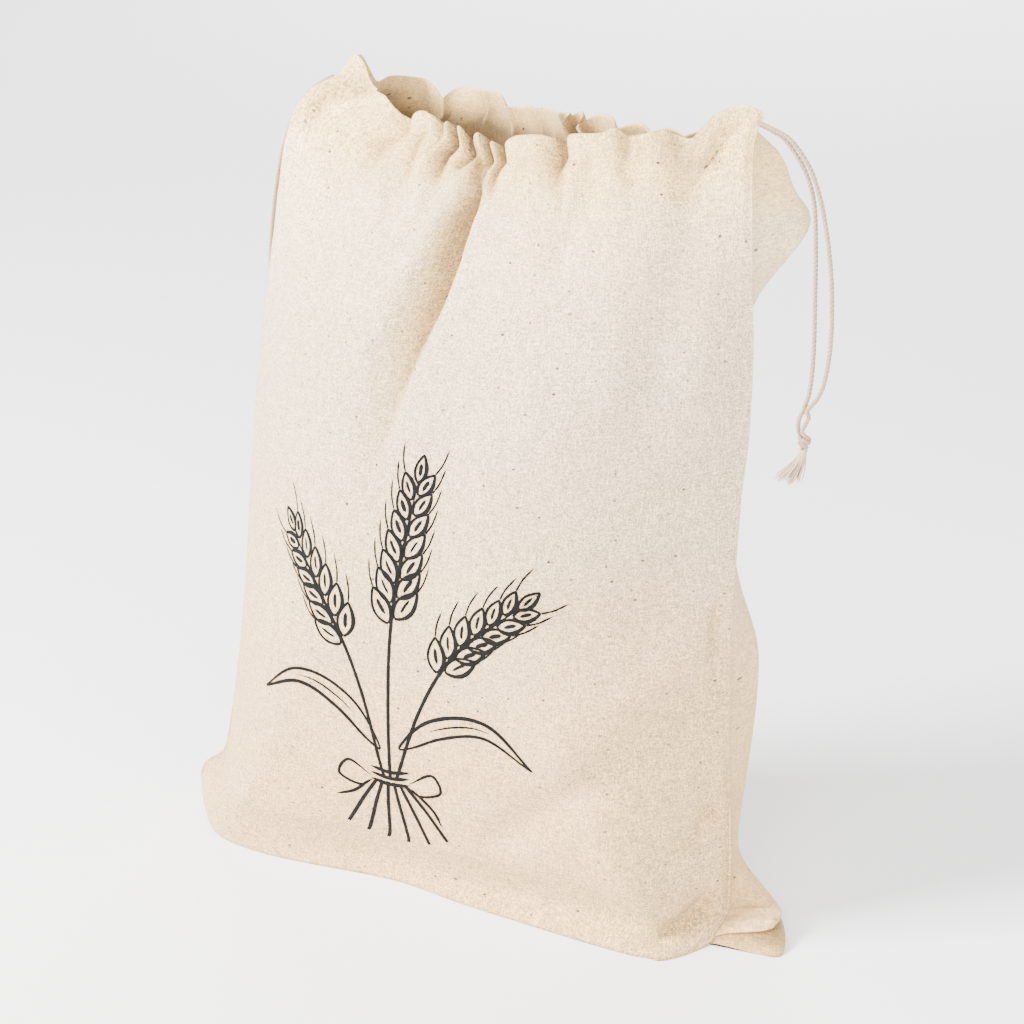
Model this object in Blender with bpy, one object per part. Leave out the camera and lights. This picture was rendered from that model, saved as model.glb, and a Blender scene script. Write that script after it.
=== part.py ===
"""A linen bread bag: two cloth panels sewn together, filled out and standing, its hem drawn half shut.

Metres, +Z up. The bag stands on z = 0, its printed front faces -Y, and the origin is the middle of
the ground that its cloth covers. Tables are in millimetres, and MM turns them into metres.
"""

import math
from collections import namedtuple

import bmesh
import bpy
import numpy as np

MM = 0.001

# Driving sizes
PANEL_WIDTH = 280.0  # of the cut cloth, seam to seam
CLOTH = 1.2  # thickness of the single cloth
HEM_EXTRA = 1.0  # what the turned-in hem adds to it on the inside
HEM_FROM = 318.0  # height of the hem's stitching
RIM_HEIGHT = 338.0  # of the mouth's edge, before it rises and dips
SEAM_GAP = 0.3  # between the two panels where they are sewn together
FOOT_CENTRE = (1.9, 4.0)  # middle of the ground covered, in the tables' x and y
CORD = 1.9  # diameter of the drawstring

COLUMNS = 36  # across a panel below the gathers
GATHER_COLUMNS = 3 * COLUMNS  # across it in them
FLOOR_ROWS = 2  # from the bottom seam out to the edge of the floor
PLAIN_ROWS = (0, 4, 8, 12, 17, 24, 33, 46, 66, 94, 128, 164, 198, 226, 248)
GATHER_ROWS = (264, 277, 288, 298, 307, 314, HEM_FROM - 0.6, HEM_FROM + 0.6, 326, 333, RIM_HEIGHT)

Seam = namedtuple("Seam", "height left_x left_y right_x right_y")
SEAMS = (
    Seam(0, -145, 1, 121, -18),
    Seam(10, -149, 1, 123, -2),
    Seam(18, -146, 1, 122.5, 0),
    Seam(28, -134, 0, 122.5, 0),
    Seam(46, -129.5, 0, 122, 0),
    Seam(80, -123.5, 0, 120.5, 0),
    Seam(125, -117.5, 0, 119.5, 0),
    Seam(160, -114, 0, 120.5, 0),
    Seam(193, -110.5, 0, 122, 0),
    Seam(222, -106.5, 0, 124.5, 0),
    Seam(250, -102, 0, 125, 0),
    Seam(280, -96.5, 0, 123.5, 0),
    Seam(306, -91, 0, 122.5, 0),
    Seam(318, -86, 1, 122, 0),
    Seam(326, -77, 2, 122, 0),
    Seam(332, -63, 3, 123.4, 0),
    Seam(338, -58.5, 4, 126, 0),
)

# How far a panel stands off the line between the seams: fully between its shoulders, and falling
# to the seam from each, straight where the power is 1 and rounded where it is 2. A tail over 1
# presses the two panels together beside the seam.
Section = namedtuple(
    "Section",
    "height depth left_shoulder right_shoulder left_power right_power left_tail right_tail",
)
FRONT_SECTIONS = (
    Section(0, 25, -106, 108, 2.4, 1.4, 1, 1),
    Section(11, 31, -104, 103, 1.9, 1.4, 1, 1),
    Section(30, 40, -94, 92, 1.4, 1.4, 1, 1),
    Section(60, 45, -76, 76, 1.6, 1.6, 1, 1),
    Section(100, 50, -54, 56, 1.85, 1.85, 1, 1),
    Section(150, 53, -30, 34, 2.0, 2.0, 1, 1),
    Section(200, 52, -20, 30, 2.0, 2.0, 1, 1),
    Section(250, 46, -16, 30, 2.0, 2.0, 1, 1),
    Section(290, 37, -10, 40, 2.0, 2.0, 1, 1),
    Section(318, 28, 0, 46, 2.0, 2.0, 1.1, 1.3),
    Section(338, 23, 5, 50, 2.0, 2.0, 1.3, 1.7),
)
BACK_SECTIONS = (
    Section(0, 33, -104, 104, 1.3, 1.2, 1, 1),
    Section(11, 36, -102, 102, 1.3, 1.3, 1, 1),
    Section(30, 40, -92, 96, 1.4, 1.5, 1, 1),
    Section(60, 45, -76, 82, 1.6, 1.7, 1, 1),
    Section(100, 49, -54, 60, 1.85, 1.85, 1, 1),
    Section(150, 52, -30, 36, 2.0, 2.0, 1, 1),
    Section(200, 52, -24, 36, 2.0, 2.0, 1, 1),
    Section(250, 48, -30, 40, 2.0, 2.0, 1, 1),
    Section(290, 45, -42, 30, 2.2, 2.0, 1, 1),
    Section(318, 42, -48, 0, 2.2, 1.6, 1.1, 1.3),
    Section(338, 40, -44, -25, 2.0, 1.4, 1.3, 1.6),
)

# Soft swellings of a panel: where along the cloth, how high, how far they reach, and their push
Swell = namedtuple("Swell", "along height wide up down push_x push_y push_z")
FRONT_SWELLS = (
    Swell(58, 0, 40, 26, 20, 0, -8, 0),
)
BACK_SWELLS = (
    Swell(248, 296, 34, 20, 21, 22, 39, 0),
    Swell(254, 322, 30, 12, 16, 11, 21, 0),
    Swell(262, 112, 24, 40, 66, 10, 18, 0),
    Swell(263, 0, 15, 16, 16, 38, -9, 0),
)

# Where the drawn cord has bunched the hem: share of the cloth against share of the way across
Bunching = namedtuple("Bunching", "cloth across")
FRONT_BUNCHING = (
    Bunching(0.0, 0.0),
    Bunching(0.18, 0.22),
    Bunching(0.66, 0.58),
    Bunching(1.0, 1.0),
)
BACK_BUNCHING = (
    Bunching(0.0, 0.0),
    Bunching(0.30, 0.36),
    Bunching(0.80, 0.72),
    Bunching(1.0, 1.0),
)
BUNCHED_FROM = 240.0  # height below which the cloth runs straight up

# How far the middle threads lean to the right on their way up, as a share of the way across
Lean = namedtuple("Lean", "height share")
LEANS = (
    Lean(0, 0),
    Lean(240, 0),
    Lean(270, 0.022),
    Lean(298, 0.050),
    Lean(314, 0.066),
    Lean(326, 0.046),
    Lean(338, 0),
)

# How far the mouth's edge rises above RIM_HEIGHT
Rise = namedtuple("Rise", "cloth rise")
FRONT_RISES = (
    Rise(0, 15),
    Rise(0.03, 12),
    Rise(0.055, 5),
    Rise(0.11, 5),
    Rise(0.17, -2),
    Rise(0.24, 1),
    Rise(0.3, -1),
    Rise(0.38, -4),
    Rise(0.45, -5),
    Rise(0.5, -8),
    Rise(0.56, -6),
    Rise(0.65, -6),
    Rise(0.75, -5),
    Rise(0.8, -2),
    Rise(0.84, -3),
    Rise(0.9, 0),
    Rise(0.94, 6),
    Rise(0.965, 11),
    Rise(1, 12),
)
BACK_RISES = (
    Rise(0, 15),
    Rise(0.05, 5),
    Rise(0.08, 6.5),
    Rise(0.14, 4),
    Rise(0.2, 1),
    Rise(0.3, 0.5),
    Rise(0.37, -3.5),
    Rise(0.45, -2.5),
    Rise(0.55, -4),
    Rise(0.62, -3),
    Rise(0.72, -4),
    Rise(0.8, -5),
    Rise(0.87, -4),
    Rise(0.92, 0),
    Rise(0.96, 8),
    Rise(1, 12),
)
RISES_FROM = 285.0

# Valleys that the drawn hem folds into the cloth. Each starts at the mouth's edge at a share of the
# cloth, runs down as far as its reach, leans to the right as it goes, and is steeper on one side.
Valley = namedtuple("Valley", "cloth depth left_wide right_wide reach lean dip")
FRONT_VALLEYS = (
    Valley(0.165, 5.0, 9, 5, 50, 4, 4),
    Valley(0.315, 6.0, 4, 4, 34, 8, 5),
    Valley(0.372, 6.5, 4, 4, 40, 14, 6),
    Valley(0.438, 6.0, 4, 4, 30, 8, 5),
    Valley(0.488, 11.0, 13, 5, 118, -14, 6),
    Valley(0.545, 7.5, 3.5, 4, 36, 6, 7),
    Valley(0.688, 8.0, 6, 4, 56, 4, 7),
    Valley(0.785, 4.0, 5, 5, 40, 4, 3),
    Valley(0.870, 4.0, 7, 5, 34, 2, 4),
)
BACK_VALLEYS = (
    Valley(0.100, 4.0, 6, 7, 40, 4, 2),
    Valley(0.215, 6.0, 6, 5, 60, 6, 3),
    Valley(0.330, 6.0, 7, 5, 90, 14, 3),
    Valley(0.430, 6.0, 5, 5, 40, 4, 3),
    Valley(0.500, 7.0, 4, 5, 50, -2, 4),
    Valley(0.565, 7.0, 5, 4, 34, 2, 4),
    Valley(0.625, 7.5, 4, 4, 56, -6, 4),
    Valley(0.690, 7.0, 4, 5, 36, -4, 4),
    Valley(0.755, 6.0, 4, 5, 60, -10, 3),
    Valley(0.860, 4.0, 7, 6, 50, -6, 2),
)

# Long soft creases of the filled cloth, from one point of a panel to another, each as millimetres
# along the cloth and height, with how far they sink in
Crease = namedtuple("Crease", "along height to_along to_height depth wide")
FRONT_CREASES = (
    Crease(196, 58, 264, 110, 3.5, 11),
    Crease(252, 4, 268, 13, 4, 7),
    Crease(206, 324, 193, 290, 2.5, 7),
    Crease(254, 312, 232, 228, 3, 13),
    Crease(130, 0, 120, 22, 3, 24),
)
BACK_CREASES = (
    Crease(90, 60, 30, 130, 4, 12),
    Crease(200, 210, 170, 300, 3.5, 14),
    Crease(150, 0, 150, 24, 3, 22),
)

Panel = namedtuple("Panel", "name side sections swells bunching rises valleys creases")
PANELS = (
    Panel(
        "front_panel", -1, FRONT_SECTIONS, FRONT_SWELLS, FRONT_BUNCHING, FRONT_RISES,
        FRONT_VALLEYS, FRONT_CREASES,
    ),
    Panel(
        "back_panel", 1, BACK_SECTIONS, BACK_SWELLS, BACK_BUNCHING, BACK_RISES,
        BACK_VALLEYS, BACK_CREASES,
    ),
)

# Route of each free strand, from where it leaves the hem to the knot
Route = namedtuple("Route", "x y z")
CORDS = {
    "cord_right_outer": (
        Route(123.7, -1.1, 342.7), Route(129.0, -1.2, 341.0), Route(137.0, -1.3, 337.4),
        Route(143.4, -1.2, 330.4), Route(147.7, -1.2, 322.9), Route(151.4, -1.0, 311.5),
        Route(154.8, -1.0, 294.8), Route(156.6, -1.0, 277.8), Route(156.8, -1.0, 258.3),
        Route(154.2, -1.0, 242.0), Route(148.4, -0.75, 232.6),
    ),
    "cord_right_inner": (
        Route(123.5, 1.15, 341.7), Route(128.8, 1.3, 339.6), Route(134.3, 1.3, 336.5),
        Route(141.3, 1.2, 328.0), Route(145.2, 1.2, 320.0), Route(147.4, 1.2, 310.7),
        Route(148.5, 1.2, 293.7), Route(149.0, 1.2, 276.5), Route(149.4, 1.2, 257.0),
        Route(148.6, 1.2, 241.3), Route(146.5, 1.0, 232.6),
    ),
    "cord_left_outer": (
        Route(-66.5, 3.1, 346.6), Route(-71.1, 3.4, 344.3), Route(-77.7, 4.3, 340.4),
        Route(-84.4, 5.5, 334.0), Route(-90.3, 6.5, 325.5), Route(-97.0, 8.5, 311.0),
        Route(-102.8, 11.0, 292.0), Route(-107.5, 14.0, 273.0), Route(-112.0, 18.0, 252.0),
        Route(-115.8, 22.4, 236.0), Route(-115.6, 25.1, 226.2),
    ),
    "cord_left_inner": (
        Route(-66.0, 5.1, 345.9), Route(-70.6, 5.7, 343.3), Route(-77.2, 7.9, 339.0),
        Route(-84.0, 10.6, 331.4), Route(-90.0, 12.6, 322.0), Route(-96.6, 15.0, 307.0),
        Route(-102.4, 17.8, 290.0), Route(-107.4, 20.6, 272.0), Route(-111.8, 23.6, 252.0),
        Route(-113.4, 26.0, 236.0), Route(-114.0, 26.7, 226.2),
    ),
}
CORD_POINTS = 20

# The knots: middle, and which way the frayed end below leans
Knot = namedtuple("Knot", "x y z lean_x lean_y")
KNOTS = {
    "right": Knot(147.4, 0.2, 224.3, -5.6, -1.0),
    "left": Knot(-114.8, 25.8, 218.0, -3.0, 2.0),
}
KNOT_SIZE = (5.4, 5.0, 15.8)
END_HEAD = (1.9, 2.4)  # radius and height of the bound part of a frayed end
END_LENGTH = 14.5
END_SPREAD = (6.4, 3.6)  # how far its yarns stand off the middle, side to side and front to back
END_GRID = 4  # yarns across


def smooth(table, column, at):
    """One column of a table at the given places, on a curve that never overshoots its rows."""
    x = np.array([row[0] for row in table], float)
    y = np.array([getattr(row, column) for row in table], float)
    slopes = np.diff(y) / np.diff(x)
    turns = np.zeros(len(x))
    same_way = slopes[:-1] * slopes[1:] > 0
    total = np.where(same_way, slopes[:-1] + slopes[1:], 1)
    turns[1:-1] = np.where(same_way, 2 * slopes[:-1] * slopes[1:] / total, 0)
    turns[0], turns[-1] = slopes[0], slopes[-1]
    at = np.clip(at, x[0], x[-1])
    i = np.clip(np.searchsorted(x, at, side="right") - 1, 0, len(x) - 2)
    width = x[i + 1] - x[i]
    t = (at - x[i]) / width
    start = (1 + 2 * t) * (1 - t) ** 2 * y[i] + t * (1 - t) ** 2 * width * turns[i]
    end = t * t * (3 - 2 * t) * y[i + 1] + t * t * (t - 1) * width * turns[i + 1]
    return start + end


def ease(t):
    """0 to 1 with level ends."""
    t = np.clip(t, 0, 1)
    return t * t * (3 - 2 * t)


def unit(vectors):
    return vectors / np.maximum(np.linalg.norm(vectors, axis=-1, keepdims=True), 1e-9)


def section(panel, height):
    """The panel's curve at one height: close points from the left seam to the right one."""
    left_x, left_y, right_x, right_y = (smooth(SEAMS, c, height) for c in Seam._fields[1:])
    depth, left, right, left_power, right_power, left_tail, right_tail = (
        smooth(panel.sections, column, height) for column in Section._fields[1:]
    )
    share = 0.5 - 0.5 * np.cos(np.linspace(0, math.pi, 241))
    x = left_x + share * (right_x - left_x)
    from_left = np.clip((left - x) / (left - left_x), 0, 1)
    from_right = np.clip((x - right) / (right_x - right), 0, 1)
    stand = (1 - from_left**left_power) ** left_tail * (1 - from_right**right_power) ** right_tail
    beside_seam = ease(np.minimum(x - left_x, right_x - x) / 3)
    layers = (CLOTH + HEM_EXTRA * ease((height - HEM_FROM + 8) / 8)) * beside_seam
    stand = SEAM_GAP / 2 + np.hypot(depth * stand, layers)
    return x, left_y + share * (right_y - left_y) + panel.side * stand


def valley_depths(panel, cloth, height):
    """How far the gathers sink a panel in at one height, and how far they pull its edge down."""
    depth, dip = np.zeros_like(cloth), np.zeros_like(cloth)
    for valley in panel.valleys:
        down = np.clip((RIM_HEIGHT - height) / valley.reach, 0, 1)
        away = (cloth - valley.cloth) * PANEL_WIDTH - valley.lean * down
        wide = np.where(away < 0, valley.left_wide, valley.right_wide) * (1 + 0.9 * down)
        shape = np.exp(-(np.abs(away / wide) ** 1.6)) * (1 - ease(down))
        depth = np.maximum(depth, valley.depth * shape)
        dip = np.maximum(dip, valley.dip * shape)
    return depth, dip


def crease_depths(panel, cloth, height):
    depth = np.zeros_like(cloth)
    for crease in panel.creases:
        run = np.array([crease.to_along - crease.along, crease.to_height - crease.height], float)
        gap = np.stack([cloth * PANEL_WIDTH - crease.along, np.full_like(cloth, height - crease.height)])
        t = np.clip((run @ gap) / (run @ run), 0, 1)
        away = np.hypot(*(gap - run[:, None] * t))
        depth += crease.depth * np.exp(-((away / crease.wide) ** 2))
    return depth


def panel_row(panel, height, columns):
    """The outer face of a panel at one height, from the left seam to the right one, and the way out
    of it at each point."""
    cloth = np.linspace(0, 1, columns + 1)
    bunched = ease((height - BUNCHED_FROM) / (RIM_HEIGHT - BUNCHED_FROM))
    across = cloth + bunched * (smooth(panel.bunching, "across", cloth) - cloth)
    across += 4 * across * (1 - across) * float(smooth(LEANS, "share", height))
    x, y = section(panel, height)
    walked = np.concatenate([[0], np.cumsum(np.hypot(np.diff(x), np.diff(y)))])
    walked /= walked[-1]
    ahead, behind = np.clip(across + 0.01, 0, 1), np.clip(across - 0.01, 0, 1)
    run_x = np.interp(ahead, walked, x) - np.interp(behind, walked, x)
    run_y = np.interp(ahead, walked, y) - np.interp(behind, walked, y)
    out = unit(np.stack([-panel.side * run_y, panel.side * run_x, np.zeros_like(run_x)], axis=1))
    row = np.stack([np.interp(across, walked, x), np.interp(across, walked, y)], axis=1)
    row = np.column_stack([row, np.full(columns + 1, float(height))])

    inside = ease(np.minimum(cloth, 1 - cloth) / 0.045)
    valley, dip = valley_depths(panel, cloth, height)
    row -= out * (inside * (valley + crease_depths(panel, cloth, height)))[:, None]
    lift = ease((height - RISES_FROM) / (RIM_HEIGHT - RISES_FROM))
    row[:, 2] += lift * (smooth(panel.rises, "rise", cloth) - inside * dip)
    for swell in panel.swells:
        tall = swell.up if height > swell.height else swell.down
        away = np.hypot((cloth * PANEL_WIDTH - swell.along) / swell.wide, (height - swell.height) / tall)
        push = inside * np.exp(-(away**2))
        row += push[:, None] * np.array([swell.push_x, swell.push_y, swell.push_z])
    return row, out


def panel_rows(panel):
    """Rows of the outer face from the bottom seam up to the mouth, with the way out at each point."""
    edge, edge_out = panel_row(panel, 0, COLUMNS)
    share = np.linspace(0, 1, COLUMNS + 1)[:, None]
    middle = edge[0] + share * (edge[-1] - edge[0])
    under = np.tile([0.0, 0.0, -1.0], (COLUMNS + 1, 1))
    rows = [(middle + (edge - middle) * i / FLOOR_ROWS, under, -1.0) for i in range(FLOOR_ROWS)]
    rows += [(*panel_row(panel, h, COLUMNS), h) for h in PLAIN_ROWS]
    rows += [(*panel_row(panel, h, GATHER_COLUMNS), h) for h in GATHER_ROWS]
    return rows


def faces_between(low, high, low_start, high_start):
    """Triangles from one row up to the next, which has the same number of columns or three times it."""
    faces = []
    for i in range(low - 1):
        a, b = low_start + i, low_start + i + 1
        if low == high:
            c, d = high_start + i, high_start + i + 1
            faces += [(a, b, d), (a, d, c)]
        else:
            c = high_start + 3 * i
            faces += [(a, c + 1, c), (a, b, c + 1), (b, c + 2, c + 1), (b, c + 3, c + 2)]
    return faces


def vertex_normals(points, faces):
    """Mean of the directions that the faces round each point look in, and how far they spread."""
    normals = np.zeros_like(points)
    looks = [[] for _ in points]
    for face in faces:
        corners = points[list(face)]
        middle = corners.mean(axis=0)
        cross = sum(np.cross(a - middle, b - middle) for a, b in zip(corners, np.roll(corners, -1, axis=0)))
        if np.linalg.norm(cross) < 1e-6:
            continue
        for index in face:
            normals[index] += cross
            looks[index].append(unit(cross))
    normals = unit(normals)
    spread = [np.mean([look @ n for look in near]) if near else 1 for near, n in zip(looks, normals)]
    return normals, np.clip(spread, 0.6, 1)


def panel_shell(panel):
    """Points and faces of a panel's closed sheet."""
    rows = panel_rows(panel)
    counts = [len(row[0]) for row in rows]
    starts = np.concatenate([[0], np.cumsum(counts)]).astype(int)
    faces = []
    for i in range(len(rows) - 1):
        faces += faces_between(counts[i], counts[i + 1], starts[i], starts[i + 1])
    if panel.side > 0:
        faces = [face[::-1] for face in faces]
    outer = np.concatenate([row[0] for row in rows])
    out = np.concatenate([row[1] for row in rows])
    heights = np.concatenate([np.full(n, row[2]) for n, row in zip(counts, rows)])
    normals, spread = vertex_normals(outer, faces)

    thick = np.where(heights > HEM_FROM, CLOTH + HEM_EXTRA, CLOTH)
    gathered = ease((heights - 240) / 24)[:, None]
    facing = np.clip(np.abs((normals * out).sum(axis=1)), 0.6, 1)
    way = (1 - gathered) * normals / spread[:, None] + gathered * out / facing[:, None]
    inner = outer - way * thick[:, None]

    chords = [(row[0][0], row[0][-1]) for row in rows]
    for start, count, (left, right) in zip(starts, counts, chords):
        chord = unit((right - left) * [1, 1, 0])
        across = np.array([-chord[1], chord[0], 0]) * panel.side
        mine = slice(start, start + count)
        stand = (inner[mine] - left) @ across
        if start >= starts[FLOOR_ROWS]:
            inner[mine] += np.maximum(-stand, 0)[:, None] * across
        for index, way_in in ((start, chord), (start + count - 1, -chord)):
            slant = abs(normals[index] @ way_in)
            inner[index] = outer[index] + way_in * thick[index] / max(slant, 0.35)
            if heights[index] <= 0:
                inner[index][2] = CLOTH
    on_floor = heights <= 0
    inner[on_floor, 2] = CLOTH

    total = len(outer)
    inside = [tuple(total + i for i in face[::-1]) for face in faces]
    border = [(starts[i], starts[i + 1]) for i in range(len(rows) - 1)][::-1]
    left_edge = [(b, a) for a, b in border]
    bottom = [(i, i + 1) for i in range(starts[0], starts[0] + counts[0] - 1)]
    lasts = [starts[i] + counts[i] - 1 for i in range(len(rows))]
    right_edge = list(zip(lasts, lasts[1:]))
    top = [(i + 1, i) for i in range(starts[-2], starts[-2] + counts[-1] - 1)]
    rim = []
    for a, b in bottom + right_edge + top + [(b, a) for a, b in left_edge]:
        rim.append((b, a, total + a, total + b))
    if panel.side > 0:
        rim = [face[::-1] for face in rim]
    return np.concatenate([outer, inner]), faces + inside + rim


def place(points):
    return (np.asarray(points, float) - [FOOT_CENTRE[0], FOOT_CENTRE[1], 0]) * MM


def make_material(name, colour, roughness):
    material = bpy.data.materials.new(name)
    material.use_nodes = True
    shader = material.node_tree.nodes["Principled BSDF"]
    shader.inputs["Base Color"].default_value = (*colour, 1)
    shader.inputs["Roughness"].default_value = roughness
    material.diffuse_color = (*colour, 1)
    return material


def make_mesh(name, points, faces, material):
    mesh = bpy.data.meshes.new(name)
    mesh.from_pydata([tuple(p) for p in place(points)], [], [tuple(int(i) for i in f) for f in faces])
    shape = bmesh.new()
    shape.from_mesh(mesh)
    bmesh.ops.remove_doubles(shape, verts=shape.verts, dist=1e-7)
    bmesh.ops.dissolve_degenerate(shape, edges=shape.edges, dist=1e-7)
    bmesh.ops.recalc_face_normals(shape, faces=shape.faces)
    if shape.calc_volume(signed=True) < 0:
        bmesh.ops.reverse_faces(shape, faces=shape.faces)
    for face in shape.faces:
        face.smooth = True
    shape.to_mesh(mesh)
    shape.free()
    mesh.materials.append(material)
    obj = bpy.data.objects.new(name, mesh)
    bpy.context.scene.collection.objects.link(obj)
    return obj


def curve_through(points, count):
    """Evenly spaced points of a smooth curve through the given ones."""
    points = np.array(points, float)
    padded = np.vstack([2 * points[0] - points[1], points, 2 * points[-1] - points[-2]])
    close = []
    for i in range(1, len(padded) - 2):
        a, b, c, d = padded[i - 1 : i + 3]
        t = np.linspace(0, 1, 24, endpoint=False)[:, None]
        close.append(0.5 * (2 * b + (c - a) * t + (2 * a - 5 * b + 4 * c - d) * t**2
                            + (3 * b - a - 3 * c + d) * t**3))
    close = np.vstack([*close, points[-1:]])
    walked = np.concatenate([[0], np.cumsum(np.linalg.norm(np.diff(close, axis=0), axis=1))])
    at = np.linspace(0, walked[-1], count)
    return np.stack([np.interp(at, walked, close[:, k]) for k in range(3)], axis=1)


def make_cord(name, route, material):
    line = bpy.data.curves.new(name, "CURVE")
    line.dimensions = "3D"
    line.bevel_depth = CORD / 2 * MM
    line.bevel_resolution = 2
    line.use_fill_caps = True
    spline = line.splines.new("POLY")
    points = place(curve_through(route, CORD_POINTS))
    spline.points.add(len(points) - 1)
    for point, at in zip(spline.points, points):
        point.co = (*at, 1)
    line.materials.append(material)
    obj = bpy.data.objects.new(name, line)
    bpy.context.scene.collection.objects.link(obj)
    return obj


def make_knot(name, knot, material):
    """The lumpy ball of a pulled-tight overhand knot."""
    around, up = 14, 9
    points = [(knot.x, knot.y, knot.z - KNOT_SIZE[2] / 2)]
    for j in range(1, up):
        tilt = math.pi * j / up
        for i in range(around):
            turn = 2 * math.pi * i / around
            bump = 1 + 0.10 * math.cos(2 * turn + 2.6 * tilt)
            points.append(
                (
                    knot.x + KNOT_SIZE[0] / 2 * bump * math.sin(tilt) ** 0.6 * math.cos(turn),
                    knot.y + KNOT_SIZE[1] / 2 * bump * math.sin(tilt) ** 0.6 * math.sin(turn),
                    knot.z - KNOT_SIZE[2] / 2 * math.cos(tilt),
                )
            )
    points.append((knot.x, knot.y, knot.z + KNOT_SIZE[2] / 2))
    ring = lambda j, i: 1 + j * around + i % around
    faces = [(0, ring(0, i + 1), ring(0, i)) for i in range(around)]
    for j in range(up - 2):
        faces += [(ring(j, i), ring(j, i + 1), ring(j + 1, i + 1), ring(j + 1, i)) for i in range(around)]
    last = len(points) - 1
    faces += [(ring(up - 2, i), ring(up - 2, i + 1), last) for i in range(around)]
    return make_mesh(name, points, faces, material)


def make_end(name, knot, material):
    """A frayed end: a bound head with yarns that spread out of it, grown from a grid of its foot."""
    n = END_GRID
    radius, height = END_HEAD
    top_z = knot.z - KNOT_SIZE[2] / 2 - 0.3
    points, faces = [], []

    def add(x, y, z):
        points.append((knot.x + x, knot.y + y, top_z + z))
        return len(points) - 1

    def disc(u, v, reach):
        """A square's point moved into a disc."""
        far = max(abs(u), abs(v))
        length = math.hypot(u, v)
        return (0, 0) if length == 0 else (u * far / length * reach, v * far / length * reach)

    foot = {}
    head = {}
    for i in range(n + 1):
        for j in range(n + 1):
            u, v = 2 * i / n - 1, 2 * j / n - 1
            foot[i, j] = add(*disc(u, v, radius), -height)
            head[i, j] = add(*disc(u, v, radius * 0.8), 0)
    sides = [(i, 0) for i in range(n)] + [(n, i) for i in range(n)]
    sides += [(n - i, n) for i in range(n)] + [(0, n - i) for i in range(n)]
    for a, b in zip(sides, sides[1:] + sides[:1]):
        faces.append((foot[a], foot[b], head[b], head[a]))
    for i in range(n):
        for j in range(n):
            faces.append((head[i, j], head[i + 1, j], head[i + 1, j + 1], head[i, j + 1]))
            ring = [foot[i, j], foot[i + 1, j], foot[i + 1, j + 1], foot[i, j + 1]]
            u, v = (2 * i + 1) / n - 1, (2 * j + 1) / n - 1
            wave = math.sin(2.3 * i + 1.7 * j)
            length = END_LENGTH - height + 1.6 * wave
            for step in (0.06, 0.36, 0.7, 1.0):
                x, y = (
                    disc(u, v, radius + (far - radius) * step**1.2)[axis]
                    for axis, far in enumerate(END_SPREAD)
                )
                x += knot.lean_x * step**1.4 + 0.5 * wave * step
                y += knot.lean_y * step**1.4 + 0.4 * math.cos(1.9 * i - j) * step
                half = 0.27 * (1 - 0.25 * step)
                corners = ((-half, -half), (half, -half), (half, half), (-half, half))
                following = [add(x + dx, y + dy, -height - length * step) for dx, dy in corners]
                for k in range(4):
                    faces.append((ring[k], ring[(k + 1) % 4], following[(k + 1) % 4], following[k]))
                ring = following
            faces.append(tuple(ring))
    return make_mesh(name, points, faces, material)


def main():
    for obj in list(bpy.data.objects):
        bpy.data.objects.remove(obj)
    front_cloth = make_material("front cloth", (0.83, 0.76, 0.66), 0.9)
    back_cloth = make_material("back cloth", (0.80, 0.72, 0.61), 0.9)
    for panel, material in zip(PANELS, (front_cloth, back_cloth)):
        make_mesh(panel.name, *panel_shell(panel), material)
    for name, route in CORDS.items():
        make_cord(name, route, make_material(name, (0.84, 0.75, 0.62), 0.85))
    for side, knot in KNOTS.items():
        make_knot(f"knot_{side}", knot, make_material(f"knot {side}", (0.82, 0.73, 0.60), 0.85))
        make_end(f"frayed_end_{side}", knot, make_material(f"frayed end {side}", (0.86, 0.78, 0.66), 0.9))


main()
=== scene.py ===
"""Dresses the linen bread bag: woven cloth with its gathers, hem and stitching, twisted drawstrings
with their knots and frayed ends, a line print, a pale floor and soft light.

Tables are in millimetres, like the model's own, and place() turns them into the model's metres.
"""

import math
from collections import namedtuple

import bpy
import numpy as np
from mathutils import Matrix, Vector


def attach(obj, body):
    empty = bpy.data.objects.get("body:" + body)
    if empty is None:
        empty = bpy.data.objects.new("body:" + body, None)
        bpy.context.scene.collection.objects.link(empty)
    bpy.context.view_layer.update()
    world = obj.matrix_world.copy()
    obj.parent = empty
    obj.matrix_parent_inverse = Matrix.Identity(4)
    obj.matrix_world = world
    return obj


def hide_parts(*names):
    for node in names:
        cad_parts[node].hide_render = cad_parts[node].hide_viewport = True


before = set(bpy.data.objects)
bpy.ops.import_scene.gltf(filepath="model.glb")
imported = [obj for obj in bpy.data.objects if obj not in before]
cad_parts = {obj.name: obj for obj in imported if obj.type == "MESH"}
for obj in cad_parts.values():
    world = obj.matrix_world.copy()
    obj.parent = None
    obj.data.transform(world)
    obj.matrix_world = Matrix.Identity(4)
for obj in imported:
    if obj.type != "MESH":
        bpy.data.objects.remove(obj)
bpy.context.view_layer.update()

MM = 0.001
PANEL_WIDTH = 280.0  # seam to seam, laid flat
HEM_FROM = 318.0  # height of the hem's stitching
HEM_UP = 324.0  # the same, up the cloth
RIM_HEIGHT = 338.0  # of the mouth's edge, before it rises and dips
SEAM_GAP = 0.16  # half of it lies on each side of the seam
SOLID_CLOTH = 1.2  # thickness of the solids' cloth, whose outer face the sheets follow
SOLID_HEM_EXTRA = 1.0  # what the hem adds to it
HEM_THICK = 1.7  # from the hem's outer face to its inner one
FOOT_CENTRE = (1.9, 4.0)  # middle of the ground covered, in the tables' x and y
CORD = 1.9  # diameter of the drawstring


def table(kind, *rows):
    """Rows of plain numbers as rows of one kind."""
    return tuple(kind(*row) for row in rows)


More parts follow.
